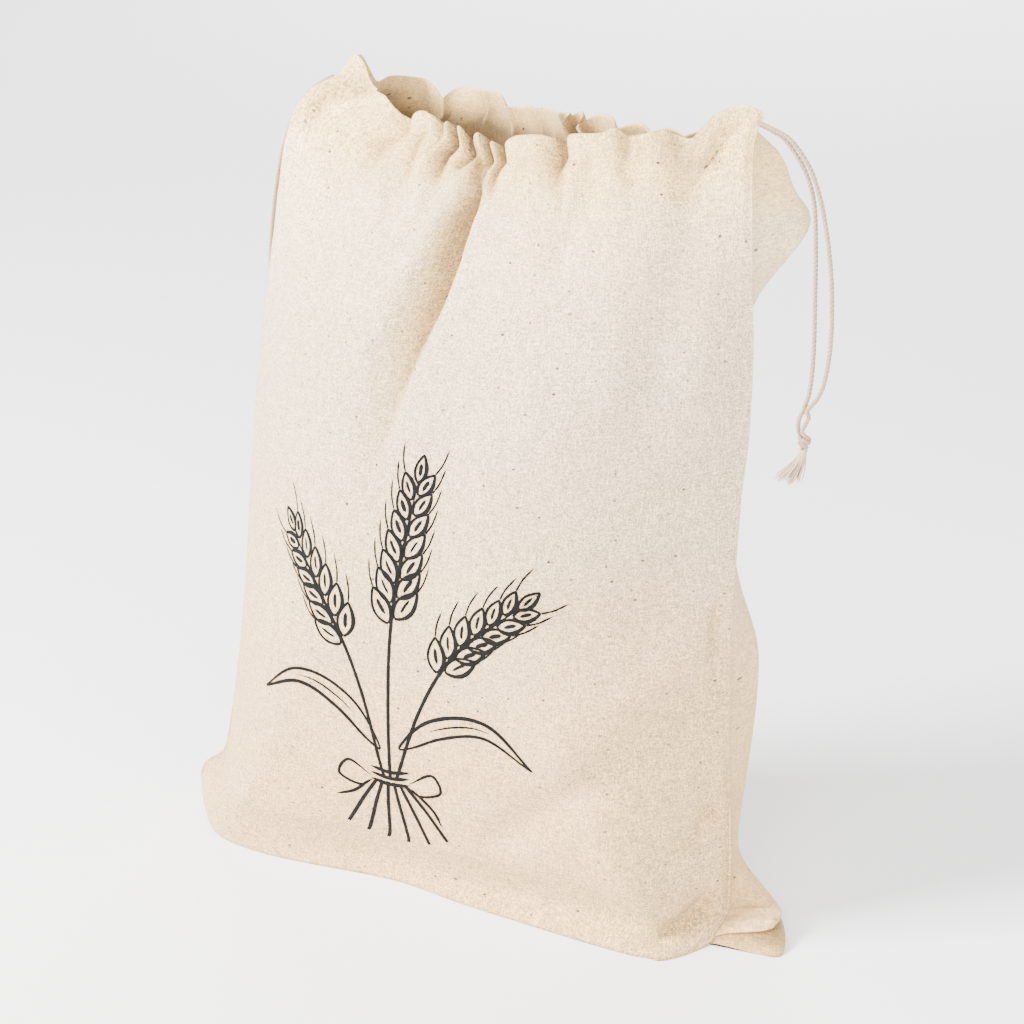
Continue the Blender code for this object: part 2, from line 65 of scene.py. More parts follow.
def smooth(rows, at, column=1):
    """One column of a table at the given places, on a curve that never overshoots its rows."""
    x, y = (np.array([row[c] for row in rows], float) for c in (0, column))
    slopes = np.diff(y) / np.diff(x)
    turns = np.zeros(len(x))
    same_way = slopes[:-1] * slopes[1:] > 0
    total = np.where(same_way, slopes[:-1] + slopes[1:], 1)
    turns[1:-1] = np.where(same_way, 2 * slopes[:-1] * slopes[1:] / total, 0)
    turns[0], turns[-1] = slopes[0], slopes[-1]
    at = np.clip(at, x[0], x[-1])
    i = np.clip(np.searchsorted(x, at, side="right") - 1, 0, len(x) - 2)
    width = x[i + 1] - x[i]
    t = (at - x[i]) / width
    start = (1 + 2 * t) * (1 - t) ** 2 * y[i] + t * (1 - t) ** 2 * width * turns[i]
    end = t * t * (3 - 2 * t) * y[i + 1] + t * t * (t - 1) * width * turns[i + 1]
    return start + end


def ease(t):
    """0 to 1 with level ends."""
    t = np.clip(t, 0, 1)
    return t * t * (3 - 2 * t)


def unit(vectors):
    return vectors / np.maximum(np.linalg.norm(vectors, axis=-1, keepdims=True), 1e-9)


def place(points):
    """Points of the tables in the model's frame and in metres."""
    return (np.asarray(points, float) - [FOOT_CENTRE[0], FOOT_CENTRE[1], 0]) * MM


def lengths_along(points):
    """How far along a line each of its points lies."""
    return np.concatenate([[0], np.cumsum(np.linalg.norm(np.diff(points, axis=0), axis=1))])


def curve_through(points, step):
    """Evenly spaced points, about a step apart, of a smooth curve through the given ones."""
    points = np.array(points, float)
    padded = np.vstack([2 * points[0] - points[1], points, 2 * points[-1] - points[-2]])
    close = []
    for i in range(1, len(padded) - 2):
        a, b, c, d = padded[i - 1 : i + 3]
        t = np.linspace(0, 1, 24, endpoint=False)[:, None]
        close.append(0.5 * (2 * b + (c - a) * t + (2 * a - 5 * b + 4 * c - d) * t**2
                            + (3 * b - a - 3 * c + d) * t**3))
    close = np.vstack([*close, points[-1:]])
    walked = lengths_along(close)
    at = np.linspace(0, walked[-1], max(int(walked[-1] / step), 4) + 1)
    return np.stack([np.interp(at, walked, close[:, k]) for k in range(close.shape[1])], axis=1)


def hashed(i, j, seed):
    """A number from 0 to 1 that belongs to a lattice point."""
    value = np.sin(i * 127.1 + j * 311.7 + seed * 74.7) * 43758.5453
    return value - np.floor(value)


def noise(u, v, seed):
    """Smooth noise from -1 to 1 over two lengths, with a lattice of 1."""
    i, j = np.floor(u), np.floor(v)
    a, b = ease(u - i), ease(v - j)
    low = hashed(i, j, seed) * (1 - a) + hashed(i + 1, j, seed) * a
    high = hashed(i, j + 1, seed) * (1 - a) + hashed(i + 1, j + 1, seed) * a
    return 2 * (low * (1 - b) + high * b) - 1


def linked(name, data):
    """A new object in the scene."""
    obj = bpy.data.objects.new(name, data)
    bpy.context.scene.collection.objects.link(obj)
    return obj


def looking(back):
    """The turn of a camera or lamp that looks the other way."""
    return back.to_track_quat("Z", "Y").to_euler()


# ---- camera

AZIMUTH, PITCH = 28, 19  # degrees round from the front, and above the level
AIM = (0.0301, -0.029, 0.18)
DISTANCE = 0.939
LENS, SENSOR = 80.86, 36  # millimetres


def add_camera():
    azimuth, pitch = math.radians(AZIMUTH), math.radians(PITCH)
    back = Vector((
        math.sin(azimuth) * math.cos(pitch),
        -math.cos(azimuth) * math.cos(pitch),
        math.sin(pitch),
    ))
    camera = linked("camera", bpy.data.cameras.new("camera"))
    camera.data.sensor_width = SENSOR
    camera.data.lens = LENS
    camera.location = Vector(AIM) + DISTANCE * back
    camera.rotation_euler = looking(back)
    bpy.context.scene.camera = camera


# ---- materials

SOFTLY = "SMOOTHSTEP"  # a ramp with level ends
SOCKETS = {
    "rough": "Roughness",
    "specular": "Specular IOR Level",
    "sheen": "Sheen Weight",
    "sheen_rough": "Sheen Roughness",
}


class Nodes:
    """Short names for building a material's nodes."""

    def __init__(self, name):
        self.material = bpy.data.materials.new(name)
        self.material.use_nodes = True
        self.tree = self.material.node_tree
        self.shader = self.tree.nodes["Principled BSDF"]

    def put(self, value, socket):
        """A number, a colour or another node's output into a socket."""
        if isinstance(value, bpy.types.NodeSocket):
            self.tree.links.new(value, socket)
        else:
            socket.default_value = (*value, 1) if isinstance(value, tuple) else value

    def node(self, kind, inputs, **settings):
        """The outputs of a new node, whose inputs are given by number or name."""
        node = self.tree.nodes.new(f"ShaderNode{kind}")
        for key, value in settings.items():
            setattr(node, key, value)
        for key, value in inputs.items():
            self.put(value, node.inputs[key])
        return node.outputs

    def math(self, operation, *values):
        return self.node("Math", dict(enumerate(values)), operation=operation)[0]

    def times(self, a, b):
        return self.math("MULTIPLY", a, b)

    def plus(self, a, b):
        return self.math("ADD", a, b)

    def vector(self, x, y):
        return self.node("CombineXYZ", {0: x, 1: y})[0]

    def cloth_map(self):
        """Both lengths of the piece's own map, in millimetres."""
        at = self.node("UVMap", {}, uv_map="cloth")[0]
        return self.node("SeparateXYZ", {0: at})[:2]

    def noise(self, vector, scale, detail=2.0):
        inputs = {"Vector": vector, "Scale": scale, "Detail": detail}
        return self.node("TexNoise", inputs, noise_dimensions="2D")["Fac"]

    def ramp(self, value, low, high, to_low=0.0, to_high=1.0, kind="LINEAR"):
        inputs = {"Value": value, "From Min": low, "From Max": high, "To Min": to_low, "To Max": to_high}
        return self.node("MapRange", inputs, interpolation_type=kind)["Result"]

    def mix(self, factor, a, b, blend="MIX"):
        return self.node("Mix", {0: factor, 6: a, 7: b}, data_type="RGBA", blend_type=blend)[2]

    def between(self, factor, a, b):
        return self.node("Mix", {0: factor, 2: a, 3: b}, data_type="FLOAT")[0]

    def grey(self, *values):
        """One value, or three, as a colour."""
        return self.node("CombineColor", dict(enumerate(values * (3 // len(values)))))[0]

    def finish(self, colour, height=None, strength=0, distance=0, **surface):
        """Colour, bump and the other numbers of the surface."""
        if height is not None:
            bump = {"Height": height, "Strength": strength, "Distance": distance}
            self.put(self.node("Bump", bump)[0], self.shader.inputs["Normal"])
        self.put(colour, self.shader.inputs["Base Color"])
        for key, number in surface.items():
            self.put(number, self.shader.inputs[SOCKETS[key]])
        return self.material


THREAD = 0.5  # pitch of the weave
SWAY = 2.4  # threads that the weave drifts to the side
FLECK = (0.06, 0.03, 0.015)
# What the base colour is multiplied by
LOW_DOWN, IN_THE_HEM = (1.02, 0.84, 0.60), (1.02, 0.905, 0.60)
# painted shade: the tint of the shade in the creases, and of the deep shade inside the mouth
CREASE_SHADE_TINT, INSIDE_SHADE_TINT = (0.79, 0.655, 0.395), (0.26, 0.20, 0.11)
Weave = namedtuple("Weave", "warp_tone weft_tone tone height crossing raised")


def weave(n, u, v):
    """Warp and weft: each thread has its own tone, swells and thins along its length, and differs
    at each crossing."""
    sway = n.noise(n.vector(u, v), 0.035, 0.0)
    x = n.plus(n.times(u, 1 / THREAD), n.times(sway, SWAY))
    y = n.plus(n.times(v, 1 / THREAD), n.times(sway, -SWAY))
    warp_number, weft_number = n.math("FLOOR", x), n.math("FLOOR", y)
    warp_round, weft_round = (
        n.math("SINE", n.times(n.math("PINGPONG", at, 0.5), math.pi)) for at in (x, y)
    )
    over = n.math("FLOORED_MODULO", n.plus(warp_number, weft_number), 2.0)
    warp_tone = n.noise(n.vector(n.times(warp_number, 3.7), n.times(y, 0.09)), 1.0, 1.0)
    weft_tone = n.noise(n.vector(n.times(x, 0.09), n.times(weft_number, 3.7)), 1.0, 1.0)
    tone = n.between(over, warp_tone, weft_tone)
    height = n.between(over, warp_round, weft_round)
    numbers = n.vector(warp_number, weft_number)
    crossing = n.node("TexWhiteNoise", {"Vector": numbers}, noise_dimensions="2D")["Value"]
    raised = n.plus(n.plus(n.times(height, 0.5), n.times(tone, 0.8)), n.times(crossing, 0.5))
    return Weave(warp_tone, weft_tone, tone, height, crossing, raised)


def woven(name, base, contrast=1.0):
    """Plain-woven cloth: warp and weft of uneven thickness and tone, slubs, and a few flecks."""
    n = Nodes(name)
    u, v = n.cloth_map()
    threads = weave(n, u, v)

    def tinted(factors):
        return tuple(c * k for c, k in zip(base, factors))

    shade = n.plus(n.ramp(threads.tone, 0.25, 0.75, -0.17, 0.16),
                   n.ramp(threads.height, 0.2, 1.0, -0.34, 0.08))
    shade = n.plus(shade, n.ramp(threads.crossing, 0.0, 1.0, -0.36, 0.36))
    for slub in (threads.warp_tone, threads.weft_tone):
        shade = n.plus(shade, n.ramp(slub, 0.62, 0.76, 0.0, 0.18))
    shade = n.plus(n.times(shade, contrast), 1.0 - 0.05 * contrast)

    # Yellower towards the bottom and in the doubled hem, with painted shade, darker and browner, down in
    # the creases and inside the mouth
    patchy = n.noise(n.vector(u, v), 0.03)
    hem = n.ramp(n.plus(v, n.times(patchy, 20.0)), HEM_UP, HEM_UP + 16.0, 0.0, 0.75, SOFTLY)
    hem = n.plus(hem, n.ramp(v, 240.0, 320.0, 0.0, 0.3, SOFTLY))
    low = n.ramp(n.plus(v, n.times(patchy, 60.0)), 300.0, 90.0, 0.0, 0.95, SOFTLY)
    warm = n.plus(low, n.ramp(patchy, 0.3, 0.7, -0.08, 0.12))
    colour = n.mix(warm, base, tinted(LOW_DOWN))
    colour = n.mix(hem, colour, tinted(IN_THE_HEM))
    # painted light: the cloth is made paler from well below the hem up to the mouth's edge, as if lit
    # more strongly there
    painted_top_light = n.grey(n.ramp(v, HEM_UP - 90.0, HEM_UP + 14.0, 1.0, 1.26, SOFTLY))
    colour = n.mix(1.0, colour, painted_top_light, "MULTIPLY")
    creased = n.node("Attribute", {}, attribute_name="creased")["Fac"]
    # painted shade: browner in the valleys and creases, dark brown in the deepest shade and inside the
    # mouth
    colour = n.mix(n.ramp(creased, 0.0, 1.0, 0.0, 0.9), colour, tinted(CREASE_SHADE_TINT))
    colour = n.mix(n.ramp(creased, 1.0, 2.0, 0.0, 1.0), colour, tinted(INSIDE_SHADE_TINT))
    colour = n.mix(1.0, colour, n.grey(shade), "MULTIPLY")

    # how dense the flecks are, how large, what share of places has none, and how dark
    for scale, size, none, dark in ((0.075, 0.060, 0.55, 1.0), (0.2, 0.075, 0.5, 0.5)):
        inputs = {"Vector": n.vector(u, n.times(v, 1.35)), "Scale": scale}
        cell = n.node("TexVoronoi", inputs, voronoi_dimensions="2D", feature="F1")
        random = n.node("SeparateColor", {0: cell["Color"]})
        chosen = n.math("GREATER_THAN", random[0], none)
        reach = n.ramp(random[1], 0.0, 1.0, size * 0.45, size)
        near = n.math("LESS_THAN", cell["Distance"], reach)
        strong = n.ramp(random[2], 0, 1, dark * 0.6, dark)
        colour = n.mix(n.times(n.times(chosen, near), strong), colour, FLECK)
    return n.finish(colour, threads.raised, 0.8, 0.0003,
                    rough=0.92, specular=0.18, sheen=0.12, sheen_rough=0.6)


def inked(name):
    """Matt black ink over the weave's threads."""
    n = Nodes(name)
    threads = weave(n, *n.cloth_map())
    shine = n.plus(n.ramp(threads.tone, 0.3, 0.7, 0.0, 0.006), 0.003)
    colour = n.grey(*(n.times(shine, k) for k in (1.0, 0.96, 0.95)))
    return n.finish(colour, threads.raised, 0.8, 0.0003, rough=0.8, specular=0.1)


def yarn(name, base, fibre_depth=0.9):
    """Cotton yarn: fine fibres that run along it, read from the piece's map of length and turn."""
    n = Nodes(name)
    along, round_it = n.cloth_map()
    fibres = n.noise(n.vector(n.times(along, 0.8), n.times(round_it, 9.0)), 1.0, 3.0)
    patches = n.noise(n.vector(along, round_it), 0.35)
    shade = n.plus(n.ramp(fibres, 0.25, 0.75, 0.80, 1.08), n.ramp(patches, 0.3, 0.7, -0.04, 0.04))
    colour = n.mix(1.0, base, n.grey(shade), "MULTIPLY")
    return n.finish(colour, fibres, fibre_depth, 0.00012, rough=0.88, specular=0.2, sheen=0.15)


# ---- meshes

def add_piece(name, points, faces, maps, material, slot, creased=None):
    """A smooth mesh piece from points and a map at each of them, all in millimetres."""
    mesh = bpy.data.meshes.new(name)
    mesh.from_pydata(place(points).tolist(), [], faces)
    layer = mesh.uv_layers.new(name="cloth")
    corners = np.empty(len(mesh.loops), int)
    mesh.loops.foreach_get("vertex_index", corners)
    layer.data.foreach_set("uv", np.asarray(maps, float)[corners].ravel())
    # how much shade is painted at each point, for the cloth's material
    if creased is not None:
        mesh.attributes.new("creased", "FLOAT", "POINT").data.foreach_set("value", creased)
    mesh.polygons.foreach_set("use_smooth", [True] * len(mesh.polygons))
    mesh.materials.append(material)
    mesh.update()
    obj = linked(name, mesh)
    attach(obj, "root")
    return obj


def grid_faces(rows, columns, flip=False):
    """Quads of a grid of points that is stored row by row."""
    i = np.arange(rows - 1)[:, None] * columns + np.arange(columns - 1)[None, :]
    quads = np.stack([i, i + 1, i + 1 + columns, i + columns], axis=-1).reshape(-1, 4)
    return (quads[:, ::-1] if flip else quads).tolist()


def frames_along(points):
    """Two directions across a line at each of its points, carried along it without twisting."""
    tangents = unit(np.gradient(points, axis=0))
    across = np.zeros_like(points)
    side = np.cross(tangents[0], [0.3, 0.9, 0.1])
    for i, tangent in enumerate(tangents):
        side = side - tangent * (side @ tangent)
        side = side / np.linalg.norm(side)
        across[i] = side
    return across, np.cross(tangents, across)


def grid_map(u, v):
    """A map that runs evenly over a grid, from its columns' values and its rows'."""
    return np.stack(np.meshgrid(u, v), axis=-1)


def tube(line, angles, radius, maps):
    """A tube round a line, from its radius at the line's points and at the angles."""
    across, up = frames_along(line)
    turned = across[:, None] * np.cos(angles)[:, None] + up[:, None] * np.sin(angles)[:, None]
    return as_part(line[:, None] + turned * radius[..., None], maps, True)


PLIES = 3
PLY = 0.5  # a ply's radius and its distance from the middle, as shares of the cord's radius


def cord_tube(points, radius, phase, twist=5.2, around=18):
    """A twisted cord along a line: plies that wind round each other once in a twist."""
    walked = lengths_along(points)
    angle = np.linspace(0, 2 * math.pi, around + 1)
    turn = (2 * math.pi * walked / twist + phase)[:, None]
    plies_on = (angle[None, :] - turn) * PLIES / (2 * math.pi)
    ply = np.round(plies_on)
    to_ply = (plies_on - ply) * 2 * math.pi / PLIES
    groove = np.sqrt(np.maximum(PLY**2 - (PLY * np.sin(to_ply)) ** 2, 0.004))
    reach = np.maximum(PLY * np.cos(to_ply) + groove, 0.5)
    lump = 1 + 0.04 * noise(walked[:, None] / 2.3 + 0 * angle, 0 * turn + angle / math.pi, phase + 3)
    to_end = np.minimum(walked, walked[-1] - walked)[:, None] / radius
    reach = reach * radius * lump * np.sqrt(np.clip(3 * to_end + 0.0004, 0, 1))
    along = np.broadcast_to(walked[:, None], reach.shape)
    maps = np.stack([along, to_ply * radius * 0.8 + 4.0 * ply], axis=-1)
    return tube(points, angle, reach, maps)


def as_part(grid, maps, flip=False):
    """A grid of points and a map of the same shape as (points, faces, map)."""
    return grid.reshape(-1, 3), grid_faces(*grid.shape[:2], flip), maps.reshape(-1, 2)


def joined(parts):
    """Several (points, faces, map) as one."""
    points, faces, maps, start = [], [], [], 0
    for p, f, m in parts:
        points.append(p)
        maps.append(m)
        faces += [[i + start for i in face] for face in f]
        start += len(p)
    return np.concatenate(points), faces, np.concatenate(maps)


# ---- drawstrings

# Route of each free strand, from the hem to the knot
CORDS = {
    "cord_right_outer": (
        (123.7, -1.1, 342.7), (129.0, -1.2, 341.0), (137.0, -1.3, 337.4), (143.4, -1.2, 330.4),
        (147.7, -1.2, 322.9), (151.4, -1.0, 311.5), (154.8, -1.0, 294.8), (156.6, -1.0, 277.8),
        (156.8, -1.0, 258.3), (154.2, -1.0, 242.0), (148.4, -0.75, 232.6),
    ),
    "cord_right_inner": (
        (123.5, 1.15, 341.7), (128.8, 1.3, 339.6), (134.3, 1.3, 336.5), (141.3, 1.2, 328.0),
        (145.2, 1.2, 320.0), (147.4, 1.2, 310.7), (148.5, 1.2, 293.7), (149.0, 1.2, 276.5),
        (149.4, 1.2, 257.0), (148.6, 1.2, 241.3), (146.5, 1.0, 232.6),
    ),
    "cord_left_outer": (
        (-66.5, 3.1, 346.6), (-71.1, 3.4, 344.3), (-77.7, 4.3, 340.4), (-84.4, 5.5, 334.0),
        (-90.3, 6.5, 325.5), (-97.0, 8.5, 311.0), (-102.8, 11.0, 292.0), (-107.5, 14.0, 273.0),
        (-112.0, 18.0, 252.0), (-115.8, 22.4, 236.0), (-115.6, 25.1, 226.2),
    ),
    "cord_left_inner": (
        (-66.0, 5.1, 345.9), (-70.6, 5.7, 343.3), (-77.2, 7.9, 339.0), (-84.0, 10.6, 331.4),
        (-90.0, 12.6, 322.0), (-96.6, 15.0, 307.0), (-102.4, 17.8, 290.0), (-107.4, 20.6, 272.0),
        (-111.8, 23.6, 252.0), (-113.4, 26.0, 236.0), (-114.0, 26.7, 226.2),
    ),
}

# The knots: middle, and which way the frayed end below leans
Knot = namedtuple("Knot", "x y z lean_x lean_y")
KNOTS = {
    "right": Knot(147.4, 0.2, 224.3, -5.6, -1.0),
    "left": Knot(-114.8, 25.8, 218.0, -3.0, 2.0),
}

KNOT_OVERLAP = 1.2  # how far a knot's strands start inside the ends of the drawstring
# Route of each strand through a knot, from the knot's middle
KNOT_ROUTES = (
    ((-2.0, -0.6, 5.2), (-2.6, -0.4, 1.6), (-2.1, 0.5, -1.6), (-0.5, 1.6, -3.4),
     (1.5, 0.9, -4.7), (1.6, -0.8, -4.2), (0.1, -1.6, -3.4), (-1.5, -0.9, -4.4), (-1.1, 0.5, -6.0),
     (-0.65, -0.2, -8.0)),
    ((1.3, 0.5, 5.4), (0.4, -0.7, 2.6), (-0.6, -1.0, 0.0), (0.7, -0.9, -1.9),
     (1.9, 0.2, -3.0), (0.8, 1.6, -4.6), (-1.3, 0.8, -3.2), (-1.5, -0.7, -2.8), (0.3, -1.5, -5.2),
     (1.2, -0.5, -6.2), (0.65, -0.2, -8.0)),
)


def knot_lines(knot, side):
    """The lines of both strands: they twist round each other and end in a small tight knot."""
    ends = [np.array(CORDS[f"cord_{side}_{strand}"][-2:], float) for strand in ("outer", "inner")]
    ends.sort(key=lambda end: end[1][0])
    lines = []
    for (before, last), route in zip(ends, KNOT_ROUTES):
        overlap = last + unit(before - last) * KNOT_OVERLAP
        lines.append(np.vstack([overlap, last, np.array(route) + [knot.x, knot.y, knot.z]]))
    return lines


YARNS = 70
YARN_LENGTH = 14.2
YARN_SEED = 5
GOLDEN_ANGLE = 2.39996  # spreads the yarns evenly over their round foot


def frayed(knot):
    """Yarns that spread out of the bound foot of a knot."""
    parts = []
    top = np.array([knot.x, knot.y, knot.z - 7.6])
    t = np.linspace(0, 1, 9)[:, None]
    for k in range(YARNS):
        long, wave, wave_y, thick = (hashed(k, float(i), YARN_SEED) for i in (1, 2, 3, 4))
        wave, wave_y = 2 * wave - 1, 2 * wave_y - 1
        ring = math.sqrt((k + 0.5) / YARNS)
        turn = GOLDEN_ANGLE * k
        a, b = ring * math.cos(turn), ring * math.sin(turn)
        length = YARN_LENGTH * (0.86 + 0.22 * long)
        out = t ** 1.25
        line = top + np.hstack([
            a * (1.1 + 4.6 * out) + knot.lean_x * t**1.3 + wave * 0.9 * np.sin(2.6 * t + 3 * wave) * t,
            b * (1.0 + 2.4 * out) + knot.lean_y * t**1.3 + wave_y * 0.7 * np.sin(3.1 * t + wave_y) * t,
            -length * t * (1 - 0.10 * ring),
        ])
        radius = (0.27 - 0.09 * t) * (0.8 + 0.4 * thick)
        maps = grid_map(np.arange(5) * 0.4 + 3.1 * k, t[:, 0] * length)[..., ::-1]
        parts.append(tube(line, math.pi / 2 * np.arange(5), radius, maps))
    return joined(parts)


def add_drawstrings():
    cord_yarn = yarn("twisted cotton", (0.40, 0.28, 0.19))
    end_yarn = yarn("frayed cotton", (0.50, 0.38, 0.25))
    for side, knot in KNOTS.items():
        tubes = [cord_tube(curve_through(line, 0.35), CORD / 2, i, twist=4.6, around=12)
                 for i, line in enumerate(knot_lines(knot, side))]
        tied = add_piece(f"tied_knot_{side}", *joined(tubes), cord_yarn, f"knot {side}")
        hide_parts(f"knot_{side}")
        end = add_piece(f"loose_yarns_{side}", *frayed(knot), end_yarn, f"frayed end {side}")
        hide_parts(f"frayed_end_{side}")
        for strand in ("outer", "inner"):
            node = f"cord_{side}_{strand}"
            line = curve_through(CORDS[node], 0.36)
            piece = add_piece(f"drawstring_{side}_{strand}",
                              *cord_tube(line, CORD / 2, 1.3 * (strand == "inner")),
                              cord_yarn, f"cord {side} {strand}")
            # stated as long as the line drawn
            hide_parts(node)


# ---- cloth

# Height, and x and y of the left and of the right side seam
SEAMS = (
    (0, -145, 1, 121, -18), (10, -149, 1, 123, -2), (18, -146, 1, 122.5, 0),
    (28, -134, 0, 122.5, 0), (46, -129.5, 0, 122, 0), (80, -123.5, 0, 120.5, 0),
    (125, -117.5, 0, 119.5, 0), (160, -114, 0, 120.5, 0), (193, -110.5, 0, 122, 0),
    (222, -106.5, 0, 124.5, 0), (250, -102, 0, 125, 0), (280, -96.5, 0, 123.5, 0),
    (306, -91, 0, 122.5, 0), (318, -86, 1, 122, 0), (326, -77, 2, 122, 0),
    (332, -63, 3, 123.4, 0), (338, -58.5, 4, 126, 0),
)

# How far a panel stands off the line between the seams: fully between its shoulders, and falling
# to the seam from each, straight where the power is 1 and rounded where it is 2. A tail over 1
# presses the two panels together beside the seam.
Section = namedtuple(
    "Section",
    "height depth left_shoulder right_shoulder left_power right_power left_tail right_tail",
    defaults=(2.0, 2.0, 1, 1),
)
FRONT_SECTIONS = table(
    Section,
    (0, 25, -106, 108, 2.4, 1.4),
    (11, 31, -104, 103, 1.9, 1.4),
    (30, 40, -94, 92, 1.4, 1.4),
    (60, 45, -76, 76, 1.6, 1.6),
    (100, 50, -54, 56, 1.85, 1.85),
    (150, 53, -30, 34),
    (200, 52, -20, 30),
    (250, 46, -16, 30),
    (290, 37, -10, 40),
    (318, 28, 0, 46, 2.0, 2.0, 1.1, 1.3),
    (338, 23, 5, 50, 2.0, 2.0, 1.3, 1.7),
)
BACK_SECTIONS = table(
    Section,
    (0, 33, -104, 104, 1.3, 1.2),
    (11, 36, -102, 102, 1.3, 1.3),
    (30, 40, -92, 96, 1.4, 1.5),
    (60, 45, -76, 82, 1.6, 1.7),
    (100, 49, -54, 60, 1.85, 1.85),
    (150, 52, -30, 36),
    (200, 52, -24, 36),
    (250, 48, -30, 40),
    (290, 45, -42, 30, 2.2, 2.0),
    (318, 42, -48, 0, 2.2, 1.6, 1.1, 1.3),
    (338, 40, -44, -25, 2.0, 1.4, 1.3, 1.6),
)

# Soft swellings of a panel: where along the cloth, how high, how far they reach, and their push
Swell = namedtuple("Swell", "along height wide up down push_x push_y")
FRONT_SWELLS = table(
    Swell,
    (58, 0, 40, 26, 20, 0, -8),
)
BACK_SWELLS = table(
    Swell,
    (248, 296, 34, 20, 21, 22, 39),
    (254, 322, 30, 12, 16, 11, 21),
    (262, 112, 24, 40, 66, 10, 18),
    (263, 0, 15, 16, 16, 38, -9),
)

# Where the drawn cord has bunched the hem: share of the cloth against share of the way across
FRONT_BUNCHING = (0.0, 0.0), (0.18, 0.22), (0.66, 0.58), (1.0, 1.0)
BACK_BUNCHING = (0.0, 0.0), (0.30, 0.36), (0.80, 0.72), (1.0, 1.0)
BUNCHED_FROM = 240.0

# Height, and how far the middle threads lean to the right there, as a share of the way across
LEANS = (0, 0), (240, 0), (270, 0.022), (298, 0.050), (314, 0.066), (326, 0.046), (338, 0)

# Share of the cloth, and how far the mouth's edge rises above RIM_HEIGHT there
FRONT_RISES = (
    (0, 17), (0.02, 18), (0.035, 15.5), (0.05, 8.5), (0.065, 5.5), (0.1, 4.5),
    (0.122, 1), (0.14, -1.5), (0.17, -2), (0.22, 0), (0.26, -0.8), (0.3, -2.5),
    (0.34, -3.5), (0.38, -5), (0.42, -6), (0.46, -8.5), (0.5, -8.5),
    (0.56, -5.5), (0.62, -4.5), (0.66, -4.5), (0.69, -3), (0.72, -2.6),
    (0.75, -2), (0.775, 1), (0.8, -2), (0.82, -1.6), (0.85, 0.5), (0.87, -0.5),
    (0.89, -2), (0.905, 2), (0.925, 7), (0.95, 10), (0.97, 11), (0.987, 9.8), (1, 7.5),
)
BACK_RISES = (
    (0, 17), (0.02, 17), (0.035, 12), (0.055, 5), (0.08, 6.5), (0.14, 4),
    (0.2, 1), (0.3, 0.5), (0.37, -3.5), (0.45, -2.5), (0.55, -3.5), (0.62, -1.5),
    (0.72, -1.5), (0.8, -2.5), (0.87, -2), (0.92, 0), (0.96, 6.5), (0.985, 8.5), (1, 7.5),
)
RISES_FROM = 285.0

# Valleys that the drawn hem folds into the cloth. Each starts at the mouth's edge at a share of the
# cloth, runs down as far as its reach, leans to the right as it goes, and is steeper on one side.
Valley = namedtuple("Valley", "cloth depth left_wide right_wide reach lean dip")
FRONT_VALLEYS = table(
    Valley,
    (0.165, 5.0, 9, 5, 44, 4, 4),
    (0.285, 3.5, 3, 3, 12, 5, 3),
    (0.320, 9.0, 4, 4.5, 30, 15, 4),
    (0.378, 8.5, 3.5, 4.5, 22, 9, 8),
    (0.440, 10.0, 4.5, 3.4, 30, 12, 5),
    (0.494, 9.5, 5, 3.6, 34, 4, 5),
    (0.668, 9.0, 6, 3.6, 26, 0, 4),
    (0.790, 4.0, 5, 5, 26, 0, 2),
    (0.870, 3.5, 8, 6, 26, 2, 2),
)
BACK_VALLEYS = table(
    Valley,
    (0.190, 5.0, 7, 3, 46, 6, 5),
    (0.270, 3.0, 4, 5, 26, 4, 0),
    (0.345, 4.5, 7, 6, 60, 10, 2),
    (0.440, 3.0, 6, 8, 34, 4, 1),
    (0.555, 4.0, 4, 3, 40, -2, 0),
    (0.605, 9.0, 3.5, 3, 70, -8, 4),
    (0.660, 8.0, 4, 4, 40, -4, 5),
    (0.768, 6.0, 6, 5, 50, -8, 4),
    (0.836, 4.0, 5, 5, 30, -4, 3),
    (0.885, 3.5, 6, 6, 40, -6, 3),
)

# Long soft creases of the filled cloth, from one point of a panel to another, each as millimetres
# along the cloth and height, with how far they sink in
Crease = namedtuple("Crease", "along height to_along to_height depth wide")
FRONT_CREASES = table(
    Crease,
    (176, 40, 264, 110, 3.5, 9),
    (206, 88, 270, 132, -2.0, 12),
    (252, 4, 268, 13, 4, 7),
    (206, 324, 193, 290, 2.5, 7),
    (254, 312, 232, 228, 3, 13),
    (130, 0, 120, 22, 3, 24),
)
BACK_CREASES = table(
    Crease,
    (90, 60, 30, 130, 4, 12),
    (200, 210, 170, 300, 3.5, 14),
    (150, 0, 150, 24, 3, 22),
)

